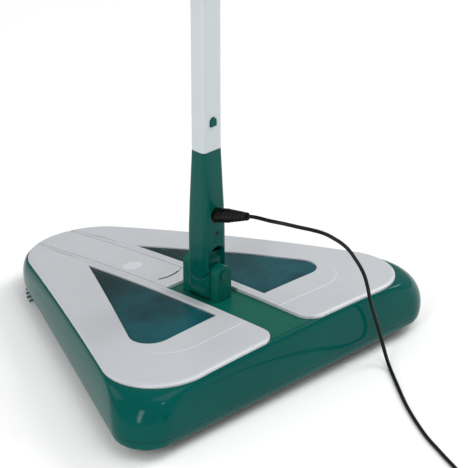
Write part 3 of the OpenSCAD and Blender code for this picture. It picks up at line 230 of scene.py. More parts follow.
def silverFinish():
    # lacquer with fine flake, the soft step round each window with a painted highlight along its edge, and
    # the lid's plain oval and finger slot
    look = silverLacquer
    f = Finish("silver lacquer")
    x, y, z = f.axes()
    flake = f.noise(look["flakeScale"], 1, 0.6)
    drift = f.noise(9, 3)
    out = abs(x) - look["ridgeX"]
    arc = (out * out + (y - look["ridgeY"] - look["ridgeR"]) ** 2).root() - look["ridgeR"]
    flat = look["ridgeY"] - y
    beyond = out.over(0)
    ridge = beyond * arc + (1 - beyond) * flat  # distance outside the step
    fade = 1 - y.between(-78 * mm, -40 * mm)
    step = ridge.between(-0.5 * mm, 0.5 * mm) * fade
    # painted highlight: a light line along the edge of the step
    line = (1 - abs(ridge).between(0.1 * mm, 0.7 * mm)) * fade
    tone = f.blend(drift.between(0.25, 0.75), shade(look["colour"], 0.97), shade(look["colour"], 1.02))
    tone = f.blend(flake.between(0.35, 0.7) * 0.22, tone, shade(look["colour"], 0.82))
    # the step's edge painted lighter, a painted highlight
    tone = f.blend(line * 0.35, tone, shade(look["colour"], 1.2))
    across = (x - look["ovalAt"][0]) / look["ovalHalf"][0]
    along = (y - look["ovalAt"][1]) / look["ovalHalf"][1]
    oval = 1 - (across * across + along * along).between(0.85, 1.1)
    tone = f.blend(oval * 0.8, tone, shade(look["colour"], 1.2))
    reach = (x * x + (y - look["slotCentre"]) ** 2).root() - look["slotRadius"]
    slot = 1 - abs(reach).between(0.5 * mm, 1.1 * mm)
    slot = slot * (1 - abs(x).between(look["slotHalf"] * 0.85, look["slotHalf"]))
    slot = slot * (1 - y.between(5 * mm, 8 * mm))  # the slot keeps to the arc's rear half
    tone = f.blend(slot * 0.9, tone, shade(look["colour"], 0.03))
    normal = f.bump(flake * 0.02 - step * 0.4 + oval * 0.25 - slot * 0.5, 1 * mm, 0.8)
    rough = look["roughness"] + flake * 0.08 + (drift - 0.5) * 0.05
    return f.close(Base_Color=tone, Roughness=rough, Metallic=look["metallic"], Normal=normal, IOR=1.5)


def paneFinish():
    # tinted clear plastic over a dark bin: mottled, with a fine dust haze
    look = paneTint
    f = Finish("window tint")
    cloud = f.noise(22, 4, 0.6)
    dust = f.noise(700, 4, 0.7)
    x, y, z = f.axes()
    ahead = (y + cloud * 30 * mm).between(-20 * mm, 45 * mm)  # the bin gets darker towards the nose
    colour = f.blend(cloud.between(0.3, 0.7), look["deep"], look["colour"])
    colour = f.blend(ahead * 0.8, colour, look["nose"])
    colour = f.blend(dust.between(0.5, 0.75) * 0.3, colour, shade(look["colour"], 1.5))
    rough = look["roughness"] + dust.between(0.5, 0.8) * 0.2
    return f.close(Base_Color=colour, Roughness=rough, Alpha=look["clear"], IOR=1.49,
                   Normal=f.bump(dust, 0.02 * mm, 0.4), Specular_IOR_Level=look["shine"])


def metal(name, look, stretch=(1, 1, 12)):
    f = Finish(name)
    brush = f.noise(220, 4, 0.7, stretch)
    drift = f.noise(30, 3)
    colour = f.blend(drift, shade(look["colour"], 0.86), shade(look["colour"], 1.06))
    return f.close(Base_Color=colour, Metallic=1.0, Roughness=look["roughness"] + brush * 0.14,
                   Normal=f.bump(brush, 0.02 * mm, 0.5))


def tubeFinish():
    # powder coat, very lightly marked along its length
    look = tubeCoat
    f = Finish("tube coat")
    peel = f.noise(look["grainScale"], 2)
    drift = f.noise(8, 3, 0.5, (1, 1, 0.3))
    scuff = f.noise(60, 6, 0.7, (1, 1, 0.08))
    colour = f.blend(drift, shade(look["colour"], 0.96), shade(look["colour"], 1.02))
    colour = f.blend(scuff.between(0.66, 0.8) * 0.25, colour, shade(look["colour"], 0.8))
    return f.close(Base_Color=colour, Roughness=look["roughness"] + scuff * 0.1, Metallic=0.15, IOR=1.5,
                   Normal=f.bump(peel, look["grain"] * mm, 0.6), Coat_Weight=0.25, Coat_Roughness=0.12)


def bristleFinish():
    look = bristleNylon
    f = Finish("bristle nylon")
    strand = f.noise(900, 2)
    colour = f.blend(strand.between(0.3, 0.7), look["colour"], look["tip"])
    return f.close(Base_Color=colour, Roughness=look["roughness"] + strand * 0.1, IOR=1.53,
                   Normal=f.bump(strand, 0.03 * mm, 0.5))


finishes = {
    "gloss": moulded("green gloss", greenGloss),
    "band": bandFinish(),
    "under": moulded("green underside", greenUnder),
    "silver": silverFinish(),
    "pane": paneFinish(),
    "rubber": moulded("black rubber", blackRubber),
    "black": moulded("black plastic", blackPlastic),
    "tube": tubeFinish(),
    "bristle": bristleFinish(),
    "steel": metal("plated steel", steelPlate),
    "brass": metal("turned brass", brassTurned, (12, 1, 1)),
    "nylon": moulded("white nylon", nylonWhite),
    "cell": moulded("cell sleeve", cellSleeve),
    "board": moulded("board lacquer", boardLacquer),
    "neck": moulded("neck green", neckGreen),
    "lens": moulded("lamp lens", lampLens),
}
print("finishes made:", len(finishes))

camera = {"place": (-1.0024, -1.0898, 0.8021), "tilt": 64.0, "turn": -44.6, "lens": 169.5}
cameraData = bpy.data.cameras.new("camera")
cameraData.lens = camera["lens"]
cameraData.sensor_width = 36
cameraObject = bpy.data.objects.new("camera", cameraData)
cameraObject.location = camera["place"]
cameraObject.rotation_euler = (math.radians(camera["tilt"]), 0, math.radians(camera["turn"]))
bpy.context.collection.objects.link(cameraObject)
bpy.context.scene.camera = cameraObject

leadLook = {"diameter": 2.8 * mm, "coilAt": (-60 * mm, -336 * mm), "coilMean": 16.5 * mm, "turns": 12,
            "layers": 4, "stepsPerTurn": 16, "space": 0.15 * mm, "bushZ": 2.6 * mm, "bushDeep": 1 * mm,
            "lastSteps": 5}
jackLean = math.radians(17)
plugOut = Vector((0, -math.cos(jackLean), math.sin(jackLean)))
jackMouth = Vector((0, -55.38 * mm, 114.797 * mm))
plugEnd = jackMouth + 33 * mm * plugOut


def leadPoints():
    r = leadLook["diameter"] / 2
    pitch = leadLook["diameter"] + leadLook["space"]
    cx, cy = leadLook["coilAt"]
    perLayer = leadLook["turns"] / leadLook["layers"]
    outer = leadLook["coilMean"] + perLayer * pitch / 2
    low = r / mm
    free = [
        (1, -96, 126.2), (3.5, -105.5, 126.2), (8, -115, 125.7), (14.5, -123.5, 123.7), (21, -129.2, 121.4),
        (29, -134, 117.6), (38, -136.5, 111), (46, -138, 104), (51.5, -139.5, 97.5), (56, -140.5, 90.5),
        (60.5, -141.5, 83), (63.5, -143.5, 75), (65.5, -145, 66), (69, -145, 53.5), (73, -144.8, 42.5),
        (76.6, -145, 33), (79.2, -146, 23.5), (80.3, -148.2, 14.8), (79, -152.8, 7.4), (75, -159.8, 3),
        (68, -170, low), (59.5, -181.6, low), (50.6, -193.8, low), (41.5, -206.8, low), (33.2, -220, low),
        (25.3, -233.7, low), (18.2, -247.3, low), (12, -262, low), (6.5, -275, low), (1, -288, low),
        (-7, -299, low), (-18, -307, low), (-31, -312, low), (-46, -314.4, low),
    ]
    points = [plugEnd + 0.1 * mm * plugOut, plugEnd + 4 * mm * plugOut]
    points += [Vector(p) * mm for p in free]
    steps = int(leadLook["turns"] * leadLook["stepsPerTurn"])
    for k in range(steps + 1):  # each layer winds in or out, and climbs on to the next at its end
        turn = k / leadLook["stepsPerTurn"]
        layer = min(leadLook["layers"] - 1, int(turn / perLayer))
        along = turn - layer * perLayer
        inwards = along if layer % 2 == 0 else perLayer - along
        climbs = [(turn - n * perLayer + 0.3) / 0.6 for n in range(1, leadLook["layers"])]
        lift = sum(min(1.0, max(0.0, climb)) for climb in climbs)
        angle = math.radians(90) + 2 * math.pi * turn
        radius = outer - inwards * pitch
        x, y = cx + radius * math.cos(angle), cy + radius * math.sin(angle)
        points.append(Vector((x, y, r + lift * pitch)))
    last = points[-1]
    end = Vector((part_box("wall_adapter")[1][0] - leadLook["bushDeep"], last.y, leadLook["bushZ"]))
    for k in range(1, leadLook["lastSteps"] + 1):  # down from the coil's top into the adapter
        t = k / leadLook["lastSteps"]
        ease = t * t * (3 - 2 * t)
        points.append(Vector((last.x + (end.x - last.x) * t, last.y, last.z + (end.z - last.z) * ease)))
    return points


def makeLead():
    curve = bpy.data.curves.new("chargerLead", "CURVE")
    curve.dimensions = "3D"
    curve.bevel_depth = leadLook["diameter"] / 2
    curve.bevel_resolution = 3
    curve.use_fill_caps = True
    points = leadPoints()
    spline = curve.splines.new("BEZIER")
    spline.bezier_points.add(len(points) - 1)
    spline.resolution_u = 4
    for spot, point in zip(spline.bezier_points, points):
        spot.co = point
        spot.handle_left_type = spot.handle_right_type = "AUTO"
    lead = bpy.data.objects.new("chargerLead", curve)
    bpy.context.collection.objects.link(lead)
    lead.data.materials.append(finishes["rubber"])
    length = sum((b - a).length for a, b in zip(points, points[1:]))
    print("lead length", round(length, 3))
    return lead, length


lead, leadLength = makeLead()


def finishMesh(bm, name, look, body, nodes=(), sharp=35, bevel=0.0, segments=2):
    mesh = bpy.data.meshes.new(name)
    bm.to_mesh(mesh)
    bm.free()
    mesh.materials.append(finishes[look])
    mesh.shade_smooth()
    mesh.set_sharp_from_angle(angle=math.radians(sharp))
    piece = bpy.data.objects.new(name, mesh)
    bpy.context.collection.objects.link(piece)
    if bevel:
        soft = piece.modifiers.new("edges", "BEVEL")
        soft.width = bevel
        soft.segments = segments
        soft.limit_method = "ANGLE"
        soft.angle_limit = math.radians(38)
        soft.use_clamp_overlap = True
        soft.harden_normals = False
    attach(piece, body)
    if nodes:
        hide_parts(*nodes)
    return piece


bodyOfNode = {n: b for b, members in frame["record"]["behaviour"]["bodies"].items() for n in members}


def nodeMesh(node):  # a copy of a solid's mesh, with its loose triangles joined
    bm = bmesh.new()
    bm.from_mesh(frame["nodes"][node].data)
    bmesh.ops.remove_doubles(bm, verts=bm.verts, dist=0.002 * mm)
    bmesh.ops.dissolve_limit(bm, angle_limit=math.radians(0.5), verts=bm.verts, edges=bm.edges)
    return bm


def pieceName(node):
    words = node.split("_")
    return words[0] + "".join(w.capitalize() for w in words[1:]) + "Part"


def soften(node, look, bevel=0.3 * mm, segments=2, sharp=35):  # the solid's shape with eased edges
    return finishMesh(nodeMesh(node), pieceName(node), look, bodyOfNode[node], [node], sharp, bevel,
                      segments)


def dress(look, *nodes):  # a solid whose shape is right gets its finish
    for node in nodes:
        for spot in frame["nodes"][node].material_slots:
            spot.material = finishes[look]


headPlan = {"baseWidth": 330 * mm, "depth": 351 * mm, "rearRadius": 26 * mm, "noseRadius": 54 * mm,
            "skirt": 8 * mm, "rim": 20 * mm, "wall": 2.5 * mm, "tuck": 3.5 * mm, "crownTop": 53.5 * mm,
            "crownRadius": 2200 * mm, "crownLead": 30 * mm, "coverIn": 4.2 * mm, "coverRear": 42 * mm,
            "coverNose": 50 * mm, "cornerSteps": 24, "noseSteps": 28, "sideSteps": 12}
halfWidth = headPlan["baseWidth"] / 2
noseAngle = math.atan(halfWidth / headPlan["depth"])
cornerAngle = (math.pi / 2 - noseAngle) / 2
rearY = -(headPlan["depth"] - headPlan["noseRadius"] / math.sin(noseAngle) + headPlan["noseRadius"]) / 2
crownY = rearY - headPlan["crownLead"]


def crown(x, y, drop=0.0):
    radius = headPlan["crownRadius"]
    return headPlan["crownTop"] - radius + math.sqrt((radius - drop) ** 2 - x * x - (y - crownY) ** 2)


def arcPoints(cx, cy, radius, start, end, steps):
    turns = [start + (end - start) * k / steps for k in range(steps + 1)]
    return [(cx + radius * math.cos(a), cy + radius * math.sin(a)) for a in turns]


def linePoints(p, q, steps):
    return [(p[0] + (q[0] - p[0]) * k / (steps + 1), p[1] + (q[1] - p[1]) * k / (steps + 1))
            for k in range(1, steps + 1)]


def cornerCentres(inset, rearRadius, noseRadius):
    cx = halfWidth - (inset + rearRadius) / math.tan(cornerAngle)
    noseY = rearY + headPlan["depth"] - (inset + noseRadius) / math.sin(noseAngle)
    return (cx, rearY + inset + rearRadius), (0, noseY)


def headRing(inset, rearRadius, noseRadius):
    (cx, cy), (nx, ny) = cornerCentres(inset, rearRadius, noseRadius)
    steps, side = headPlan["cornerSteps"], headPlan["sideSteps"]
    right = arcPoints(cx, cy, rearRadius, -math.pi / 2, noseAngle, steps)
    nose = arcPoints(nx, ny, noseRadius, noseAngle, math.pi - noseAngle, headPlan["noseSteps"])
    left = arcPoints(-cx, cy, rearRadius, math.pi - noseAngle, 1.5 * math.pi, steps)
    return (right + linePoints(right[-1], nose[0], side) + nose + linePoints(nose[-1], left[0], side)
            + left + linePoints(left[-1], right[0], side))


def bodyRing(inset):
    return headRing(inset, headPlan["rearRadius"] - inset, headPlan["noseRadius"] - inset)


def coverRing(more):
    plan = headPlan
    return headRing(plan["coverIn"] + more, plan["coverRear"] - more, plan["coverNose"] - more)


def coverInset(x, y):  # how far a point lies inside the covers' outline
    (cx, cy), (nx, ny) = cornerCentres(headPlan["coverIn"], headPlan["coverRear"], headPlan["coverNose"])
    x = abs(x)
    away = Vector((x - cx, y - cy))
    middle = (noseAngle - math.pi / 2) / 2  # the way that the middle of the rear corner faces
    if x > cx and away.angle(Vector((math.cos(middle), math.sin(middle))), 0) < (noseAngle + math.pi / 2) / 2:
        return headPlan["coverRear"] - away.length
    up = Vector((x - nx, y - ny))
    if y > ny and up.length > 0 and math.atan2(up.y, up.x) > noseAngle:
        return headPlan["coverNose"] - up.length
    side = (halfWidth - x - (y - rearY) * math.tan(noseAngle)) * math.cos(noseAngle) - headPlan["coverIn"]
    return min(side, y - rearY - headPlan["coverIn"])


def ringEdges(bm, points):
    verts = [bm.verts.new(p) for p in points]
    return [bm.edges.new((a, b)) for a, b in zip(verts, verts[1:] + verts[:1])]


def bridged(rings, close=False):  # a skin through rings of points
    bm = bmesh.new()
    loops = [ringEdges(bm, ring) for ring in rings]
    pairs = list(zip(loops, loops[1:])) + ([(loops[-1], loops[0])] if close else [])
    for low, high in pairs:
        bmesh.ops.bridge_loops(bm, edges=low + high)
    if not close:
        bmesh.ops.holes_fill(bm, edges=bm.edges, sides=0)
    bmesh.ops.recalc_face_normals(bm, faces=bm.faces)
    return bm


def mixRings(low, high, amount):
    return [(a[0] + (b[0] - a[0]) * amount, a[1] + (b[1] - a[1]) * amount) for a, b in zip(low, high)]


bumperLook = {"bulgeSteps": 14, "tuckSteps": 7, "lip": 0.5 * mm, "deckDrop": 2.6 * mm, "topTurn": 89.4,
              "gap": 0.3 * mm}


def makeBumper():
    plan, look = headPlan, bumperLook
    deckDrop, lip, skirt = look["deckDrop"], look["lip"], plan["skirt"]

    def level(ring, z):
        return [(x, y, z) for x, y in ring]

    def bulge(low, high, drop, angle):
        flat = mixRings(low, high, 1 - math.cos(angle))
        return [(x, y, plan["rim"] + (crown(tx, ty, deckDrop + drop) - plan["rim"]) * math.sin(angle))
                for (x, y), (tx, ty) in zip(flat, high)]

    cap, ledge = coverRing(0), coverRing(plan["wall"])
    rings = [level(bodyRing(plan["tuck"] + lip), skirt), level(bodyRing(plan["tuck"]), skirt + lip)]
    for k in range(1, look["tuckSteps"]):  # smooth tuck from the skirt out to the rim
        turn = k / look["tuckSteps"] * math.pi / 2
        height = skirt + lip + (plan["rim"] - skirt - lip) * (1 - math.cos(turn))
        rings.append(level(bodyRing(plan["tuck"] * (1 - math.sin(turn))), height))
    for k in range(look["bulgeSteps"] + 1):
        rings.append(bulge(bodyRing(0), cap, 0, math.radians(look["topTurn"] * k / look["bulgeSteps"])))
    rings.append([(x, y, crown(x, y, deckDrop)) for x, y in mixRings(cap, ledge, 0.12)])
    rings.append([(x, y, crown(x, y, deckDrop)) for x, y in ledge])
    for k in (3, 2, 1, 0):
        rings.append(bulge(bodyRing(plan["wall"]), ledge, plan["wall"], math.radians(30 * k)))
    rings.append(level(bodyRing(plan["tuck"] + plan["wall"] - look["gap"]), skirt))
    return finishMesh(bridged(rings, close=True), "bumperShell", "gloss", "head", ["bumper"], sharp=60)


makeBumper()
print("bumper made")

coverLook = {"thickness": 2.5 * mm, "bandHalf": 16.6 * mm, "groove": 0.8 * mm, "turn": 14 * mm,
             "lip": 0.45 * mm, "roll": (4.2 * mm, 1.9 * mm), "rollSteps": 6, "grid": 7 * mm}
paneLook = {"inner": 24.5 * mm, "outer": 101 * mm, "rear": -80 * mm, "nose": 60 * mm, "radius": 16 * mm,
            "thickness": 1.4 * mm, "play": 0.3 * mm, "depth": 1.1 * mm, "lip": 0.25 * mm, "steps": 16}
lidLook = {"start": 1 * mm, "arc": 26 * mm, "padRear": -18 * mm, "ribSize": (1.2 * mm, 91 * mm, 3.4 * mm),
           "ribAt": (12.8 * mm, 48 * mm), "ribDrop": 4.1 * mm}


def rolled(x, y, wide, deep):  # how far a cover's surface turns down near its outer edge
    inside = coverInset(x, y)
    if inside >= wide:
        return 0.0
    t = max(0.0, inside) / wide
    return deep * (1 - math.sqrt(1 - (1 - t) ** 2))


def crownPlate(name, look, body, nodes, loops, depth=0, thickness=coverLook["thickness"],
               lip=coverLook["lip"], roll=(coverLook["roll"][0], 0), extra=None):
    # a plate between outlines, laid on the crown: rounded lip, rolled edge, then a grid that takes the curve
    bm = bmesh.new()
    edges = []
    for loop in loops:
        edges += ringEdges(bm, [(x, y, -lip) for x, y in loop])
    bmesh.ops.triangle_fill(bm, use_beauty=True, use_dissolve=False, edges=edges, normal=(0, 0, 1))
    rim = [e for e in bm.edges if e.is_boundary]
    faces = bm.faces[:]
    foot = bmesh.ops.extrude_edge_only(bm, edges=rim)["geom"]
    low = [g for g in foot if isinstance(g, bmesh.types.BMVert)]
    bmesh.ops.translate(bm, verts=low, vec=(0, 0, lip - thickness))
    lowEdges = [g for g in foot if isinstance(g, bmesh.types.BMEdge) and all(v in low for v in g.verts)]
    bmesh.ops.triangle_fill(bm, use_beauty=True, use_dissolve=False, edges=lowEdges, normal=(0, 0, -1))
    for k in range(3):  # quarter round lip
        a, b = math.radians(30 * k), math.radians(30 * (k + 1))
        bmesh.ops.inset_region(bm, faces=faces, use_boundary=False, use_even_offset=True,
                               thickness=lip * (math.cos(a) - math.cos(b)), depth=0)
        inner = {v for f in faces for v in f.verts}
        bmesh.ops.translate(bm, verts=list(inner), vec=(0, 0, lip * (math.sin(b) - math.sin(a))))
    if roll[1]:
        for k in range(coverLook["rollSteps"] - 1):
            bmesh.ops.inset_region(bm, faces=faces, use_boundary=False, use_even_offset=True,
                                   thickness=roll[0] / coverLook["rollSteps"], depth=0)
    xs = [v.co.x for v in bm.verts]
    ys = [v.co.y for v in bm.verts]
    grid = coverLook["grid"]
    for axis, values in ((0, xs), (1, ys)):
        count = int((max(values) - min(values)) / grid)
        for k in range(1, count + 1):
            at = [0, 0, 0]
            at[axis] = min(values) + (max(values) - min(values)) * k / (count + 1)
            way = [0, 0, 0]
            way[axis] = 1
            everything = bm.verts[:] + bm.edges[:] + bm.faces[:]
            bmesh.ops.bisect_plane(bm, geom=everything, dist=1e-7, plane_co=at, plane_no=way)
    for v in bm.verts:
        v.co.z += crown(v.co.x, v.co.y) - depth - rolled(v.co.x, v.co.y, *roll)
    bmesh.ops.recalc_face_normals(bm, faces=bm.faces)
    if extra:
        extra(bm)
    return finishMesh(bm, name, look, body, nodes, sharp=50)


def paneOutline(grow):
    look = paneLook
    radius = look["radius"]
    slope = math.atan((look["outer"] - look["inner"]) / (look["nose"] - look["rear"]))
    cx = look["outer"] - radius / math.tan((math.pi / 2 - slope) / 2)
    tip = look["nose"] + grow * (1 + math.cos(slope)) / math.sin(slope)
    points = [(look["inner"] - grow, tip), (look["inner"] - grow, look["rear"] - grow)]
    return points + arcPoints(cx, look["rear"] + radius, radius + grow, -math.pi / 2, slope, look["steps"])


def cutOutline(outline, edge, keep):  # what lies on one side of a line across x
    kept = []
    for p, q in zip(outline, outline[1:] + outline[:1]):
        inP, inQ = keep(p[0]), keep(q[0])
        if inP:
            kept.append(p)
        if inP != inQ:
            t = (edge - p[0]) / (q[0] - p[0])
            kept.append((edge, p[1] + (q[1] - p[1]) * t))
    return kept


def coverOutline():
    look, band = coverLook, coverLook["bandHalf"]
    half = cutOutline(coverRing(0), band, lambda x: x > band)
    turn = look["turn"]
    base = rearY + headPlan["coverIn"]
    half = [p for p in half if not (p[0] < band + turn and p[1] < base + turn)]
    bend = arcPoints(band + turn, base + turn, turn, math.pi, 1.5 * math.pi, 14)
    start = max(range(len(half)), key=lambda k: half[k][1])
    # the outline runs anticlockwise, so the rear turn follows the straight inner edge
    order = half[start:] + half[:start]
    inner = [p for p in order if abs(p[0] - band) < 1e-9]
    rest = [p for p in order if abs(p[0] - band) >= 1e-9]
    top = max(inner, key=lambda p: p[1])
    rest.sort(key=lambda p: math.atan2(p[1] + 30 * mm, p[0] - 60 * mm))
    return [top] + bend + rest


def makeCover(side):
    outer = [(side * x, y) for x, y in coverOutline()]
    hole = [(side * x, y) for x, y in paneOutline(paneLook["play"])]
    word = "left" if side < 0 else "right"
    return crownPlate(word + "CoverShell", "silver", "head", [word + "_cover"], [outer, hole],
                      roll=coverLook["roll"])


def makeWindow(side):
    outline = [(side * x, y) for x, y in paneOutline(0)]
    word = "left" if side < 0 else "right"
    return crownPlate(word + "WindowPane", "pane", "head", [word + "_window"], [outline],
                      paneLook["depth"], paneLook["thickness"], paneLook["lip"])


for side in (-1, 1):
    makeCover(side)
    makeWindow(side)
print("covers and windows made")


def lidOutline():
    look = lidLook
    edge = coverLook["bandHalf"] - coverLook["groove"]
    strip = cutOutline(cutOutline(coverRing(0), edge, lambda x: x < edge), -edge, lambda x: x > -edge)
    front = [p for p in strip if p[1] > 0]
    cy = look["start"] + math.sqrt(look["arc"] ** 2 - coverLook["bandHalf"] ** 2)
    reach = math.asin(edge / look["arc"])
    end = arcPoints(0, cy, look["arc"], -math.pi / 2 - reach, -math.pi / 2 + reach, 20)
    front.sort(key=lambda p: -p[0])
    return end + front


def lidRibs(bm):  # two stiffening ribs under the lid
    for side in (-1, 1):
        made = bmesh.ops.create_cube(bm, size=1)
        x, y = lidLook["ribAt"]
        bmesh.ops.scale(bm, verts=made["verts"], vec=lidLook["ribSize"])
        bmesh.ops.translate(bm, verts=made["verts"], vec=(side * x, y, 0))
        for v in made["verts"]:
            v.co.z += crown(v.co.x, v.co.y) - lidLook["ribDrop"]


def makeLid():
    return crownPlate("batteryLidShell", "silver", "battery_lid", ["battery_lid"], [lidOutline()],
                      roll=coverLook["roll"], extra=lidRibs)


def makePad():
    edge = coverLook["bandHalf"] - coverLook["groove"]
    cy = lidLook["start"] + math.sqrt(lidLook["arc"] ** 2 - coverLook["bandHalf"] ** 2)
    radius = lidLook["arc"] + coverLook["groove"]
    reach = math.asin(edge / radius)
    outline = [(-edge, lidLook["padRear"]), (edge, lidLook["padRear"])]
    outline += arcPoints(0, cy, radius, -math.pi / 2 + reach, -math.pi / 2 - reach, 20)
    return crownPlate("centrePadShell", "silver", "head", ["centre_pad"], [outline])


makeLid()
makePad()
print("lid and pad made")

easeOf = {"handle_yoke": (1.4 * mm, 4)}
easedParts = {
    "under": ["base_tray", "left_dust_door", "right_dust_door"],
    "band": ["top_deck", "handle_yoke"],
    "neck": ["neck_front", "neck_back", "knuckle", "snap_button", "power_button", "hanging_cap"],
    "tube": ["lower_tube", "upper_tube"],
    "black": ["charging_socket", "tube_joiner", "coil_tie"],
    "rubber": ["grip"],
}
for look, nodes in easedParts.items():
    for node in nodes:
        soften(node, look, *easeOf.get(node, ()))
dressedParts = {
    "under": ["left_dust_bin", "right_dust_bin", "tube_spigot"],
    "black": ["battery_cradle", "motor_cradle", "rear_roller_core", "left_roller_core",
              "right_roller_core"],
    "rubber": ["glide_feet", "drive_belt"],
    "steel": ["housing_screws", "door_pins", "motor", "yoke_screws", "neck_screws", "button_spring"],
    "neck": ["swivel_pin", "recline_pin"],
    "bristle": ["nose_brushes"],
    "nylon": ["roller_bushes", "rear_gears", "left_gear", "right_gear", "roller_pulley"],
    "brass": ["motor_pulley"],
    "cell": ["battery_cells"],
    "board": ["charge_board"],
    "lens": ["charge_light"],
}
for look, nodes in dressedParts.items():
    dress(look, *nodes)
print("eased and dressed parts made")

tuftLook = {"core": 5 * mm, "reach": 13.9 * mm, "axleZ": 14 * mm, "pitch": 9 * mm, "twist": 24,
            "spread": 1.3 * mm, "fibre": 0.28 * mm, "fibres": 15, "splay": 0.16, "rootDeep": 0.3 * mm,
            "rollerIn": 19.5 * mm, "noseGap": 79.6 * mm, "endGap": 4 * mm, "from": 27.8 * mm,
            "beltAt": 16 * mm, "beltGap": 7 * mm}
goldenTurn = 2.39996  # spreads the fibres evenly over a bundle
meetX = halfWidth - tuftLook["rollerIn"] / math.tan(cornerAngle)
meetY = rearY + tuftLook["rollerIn"]


def makeTufts(name, node, side, turn, end, skip=None):
    # bundles of straight nylon fibres in two rows that wind round the core
    look = tuftLook
    bm = bmesh.new()
    line = Matrix.Translation((side * meetX, meetY, look["axleZ"]))
    line = line @ Matrix.Rotation(math.radians(turn), 4, "Z")
    count = int((end - look["from"]) / look["pitch"])
    for k in range(count + 1):
        x = look["from"] + k * look["pitch"]
        if skip and skip[0] <= x <= skip[1]:
            continue
        for row in (0, 180):
            face = line @ Matrix.Translation((x, 0, 0))
            face = face @ Matrix.Rotation(math.radians(90 + row + k * look["twist"]), 4, "X")
            for fibre in range(look["fibres"]):
                away = look["spread"] * math.sqrt((fibre + 0.5) / look["fibres"])
                angle = fibre * goldenTurn + lots.uniform(-0.3, 0.3)
                lean = look["splay"] * away / look["spread"]
                length = (look["reach"] - look["core"]) * lots.uniform(0.93, 0.985) * math.cos(lean)
                out = Vector((math.cos(angle), math.sin(angle), 0))
                root = Matrix.Translation(away * 0.7 * out + Vector((0, 0, look["core"])))
                tip = Matrix.Rotation(lean * lots.uniform(0.5, 1.0), 4, Vector((-out.y, out.x, 0)))
                tip = tip @ Matrix.Translation((0, 0, length / 2 - look["rootDeep"]))
                bmesh.ops.create_cone(bm, cap_ends=True, segments=4, radius1=look["fibre"] * 1.1,
                                      radius2=look["fibre"] * 0.7, depth=length, matrix=face @ root @ tip)
    return finishMesh(bm, name, "bristle", bodyOfNode[node], [node], sharp=80)


span = 2 * meetX
noseTurn = math.degrees(noseAngle)
beltAt = meetX + tuftLook["beltAt"]
makeTufts("rearBristles", "rear_roller_tufts", -1, 0, span - tuftLook["from"],
          (beltAt - tuftLook["beltGap"], beltAt + tuftLook["beltGap"]))
sideEnd = meetX / math.sin(noseAngle) - tuftLook["noseGap"] - tuftLook["endGap"]
makeTufts("leftBristles", "left_roller_tufts", -1, 90 - noseTurn, sideEnd)
makeTufts("rightBristles", "right_roller_tufts", 1, 90 + noseTurn, sideEnd)
print("bristles made")

plugLook = {"radius": 5.25, "barrel": 2.75, "mouth": 1.25, "barrelLong": 9, "bodyLong": 12.25, "length": 33,
            "endRadius": 3, "gripRings": 4, "gripPitch": 1.9, "gripDeep": 0.25, "ribs": 5, "ribPitch": 3.6}


def lathe(profile, place, steps=40):  # a turned shape; profile is (radius, height) pairs
    bm = bmesh.new()
    verts = [bm.verts.new((r, 0, z)) for r, z in profile]
    edges = [bm.edges.new(pair) for pair in zip(verts, verts[1:])]
    bmesh.ops.spin(bm, geom=verts + edges, cent=(0, 0, 0), axis=(0, 0, 1), angle=2 * math.pi, steps=steps,
                   use_merge=True)
    bmesh.ops.remove_doubles(bm, verts=bm.verts, dist=0.002 * mm)
    bmesh.ops.recalc_face_normals(bm, faces=bm.faces)
    bmesh.ops.transform(bm, matrix=place, verts=bm.verts)
    return bm


def makePlug():
    # hollow barrel contact, moulded body with grip rings, then a ribbed strain relief; in millimetres
    look = plugLook
    r, barrel, mouth, deep = look["radius"], look["barrel"], look["mouth"], look["barrelLong"]
    profile = [(0, -1), (mouth, -1), (mouth, -deep), (barrel - 0.15, -deep), (barrel, 0.2 - deep),
               (barrel, 0.24), (r - 0.35, 0.25), (r, 0.6), (r, 3)]
    for k in range(look["gripRings"]):
        z = 3.6 + k * look["gripPitch"]
        low = r - look["gripDeep"]
        profile += [(r, z), (low, z + 0.3), (low, z + 0.8), (r, z + 1.1)]
    profile += [(r, look["bodyLong"])]
    for k in range(look["ribs"]):
        z = 14 + k * look["ribPitch"]
        along = (z - look["bodyLong"]) / (look["length"] - look["bodyLong"])
        wide = r - (r - look["endRadius"]) * along
        profile += [(wide, z), (wide - 0.35, z + 0.35), (wide - 0.5, z + 1.2), (wide - 0.35, z + 1.55)]
    end = look["endRadius"]
    profile += [(end, look["length"] - 0.4), (end - 0.3, look["length"]), (0, look["length"])]
    lean = Matrix.Translation(jackMouth) @ plugOut.to_track_quat("Z", "Y").to_matrix().to_4x4()
    bm = lathe([(radius * mm, z * mm) for radius, z in profile], lean)
    return finishMesh(bm, "chargerPlug", "rubber", "handle", ["charger_plug"], sharp=50)


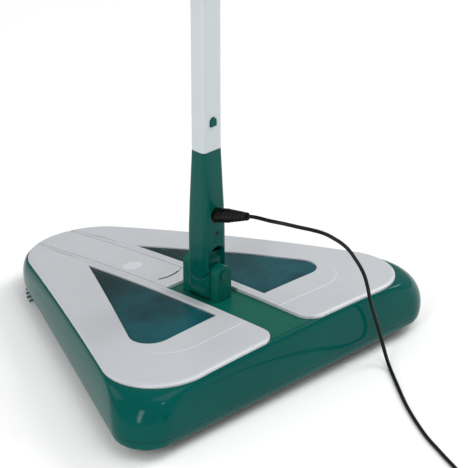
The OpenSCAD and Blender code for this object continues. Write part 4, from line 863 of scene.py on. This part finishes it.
plug = makePlug()
adapterLook = {"bevel": 0.8 * mm, "segments": 3, "pinsFrom": 30.2 * mm}
adapter = soften("wall_adapter", "black", adapterLook["bevel"], adapterLook["segments"])
adapter.data.materials.append(finishes["brass"])
for face in adapter.data.polygons:
    if face.center.z > adapterLook["pinsFrom"]:
        face.material_index = 1
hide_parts("charger_cord", "cord_coil", "adapter_lead")
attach(lead, "head")
print("lead laid")

studio = {"floor": paint(255, 255, 255), "floorHalf": 10, "key": 34, "fill": 8, "top": 18, "strip": 15,
          "glint": 2.6, "world": 0.42}


def makeFloor():
    bm = bmesh.new()
    bmesh.ops.create_grid(bm, x_segments=4, y_segments=4, size=studio["floorHalf"])
    mesh = bpy.data.meshes.new("floor")
    bm.to_mesh(mesh)
    bm.free()
    f = Finish("floor paper")
    tone = f.noise(3, 3)
    colour = f.blend(tone, studio["floor"], shade(studio["floor"], 0.985))
    mesh.materials.append(f.close(Base_Color=colour, Roughness=0.75 + tone * 0.1,
                                  Normal=f.bump(f.noise(300, 2), 0.01 * mm, 0.2)))
    floor = bpy.data.objects.new("floor", mesh)
    bpy.context.collection.objects.link(floor)


def softbox(name, place, aim, size, power):
    lamp = bpy.data.lights.new(name, "AREA")
    lamp.shape = "RECTANGLE"
    lamp.size, lamp.size_y = size
    lamp.energy = power
    thing = bpy.data.objects.new(name, lamp)
    thing.location = place
    thing.rotation_euler = (Vector(aim) - Vector(place)).to_track_quat("-Z", "Y").to_euler()
    bpy.context.collection.objects.link(thing)


makeFloor()
softbox("keyBox", (2.2, -0.5, 1.8), (0, 0, 0.05), (1.0, 1.4), studio["key"])
softbox("fillBox", (-1.2, 1.9, 1.5), (0, 0, 0.05), (1.2, 1.2), studio["fill"])
softbox("topBox", (0.2, -0.7, 2.4), (0, 0, 0.05), (1.6, 1.6), studio["top"])
softbox("stripBox", (-1.75, -0.75, 0.9), (0, 0, 0.3), (0.35, 1.2), studio["strip"])
softbox("glintBox", (-0.6, -1.7, 1.9), (0, 0, 0.05), (0.09, 0.2), studio["glint"])
world = bpy.data.worlds.new("studio")
bpy.context.scene.world = world
world.use_nodes = True
world.node_tree.nodes["Background"].inputs["Color"].default_value = (1, 1, 1, 1)
world.node_tree.nodes["Background"].inputs["Strength"].default_value = studio["world"]
bpy.context.scene.view_settings.view_transform = "Standard"
print("studio lit")
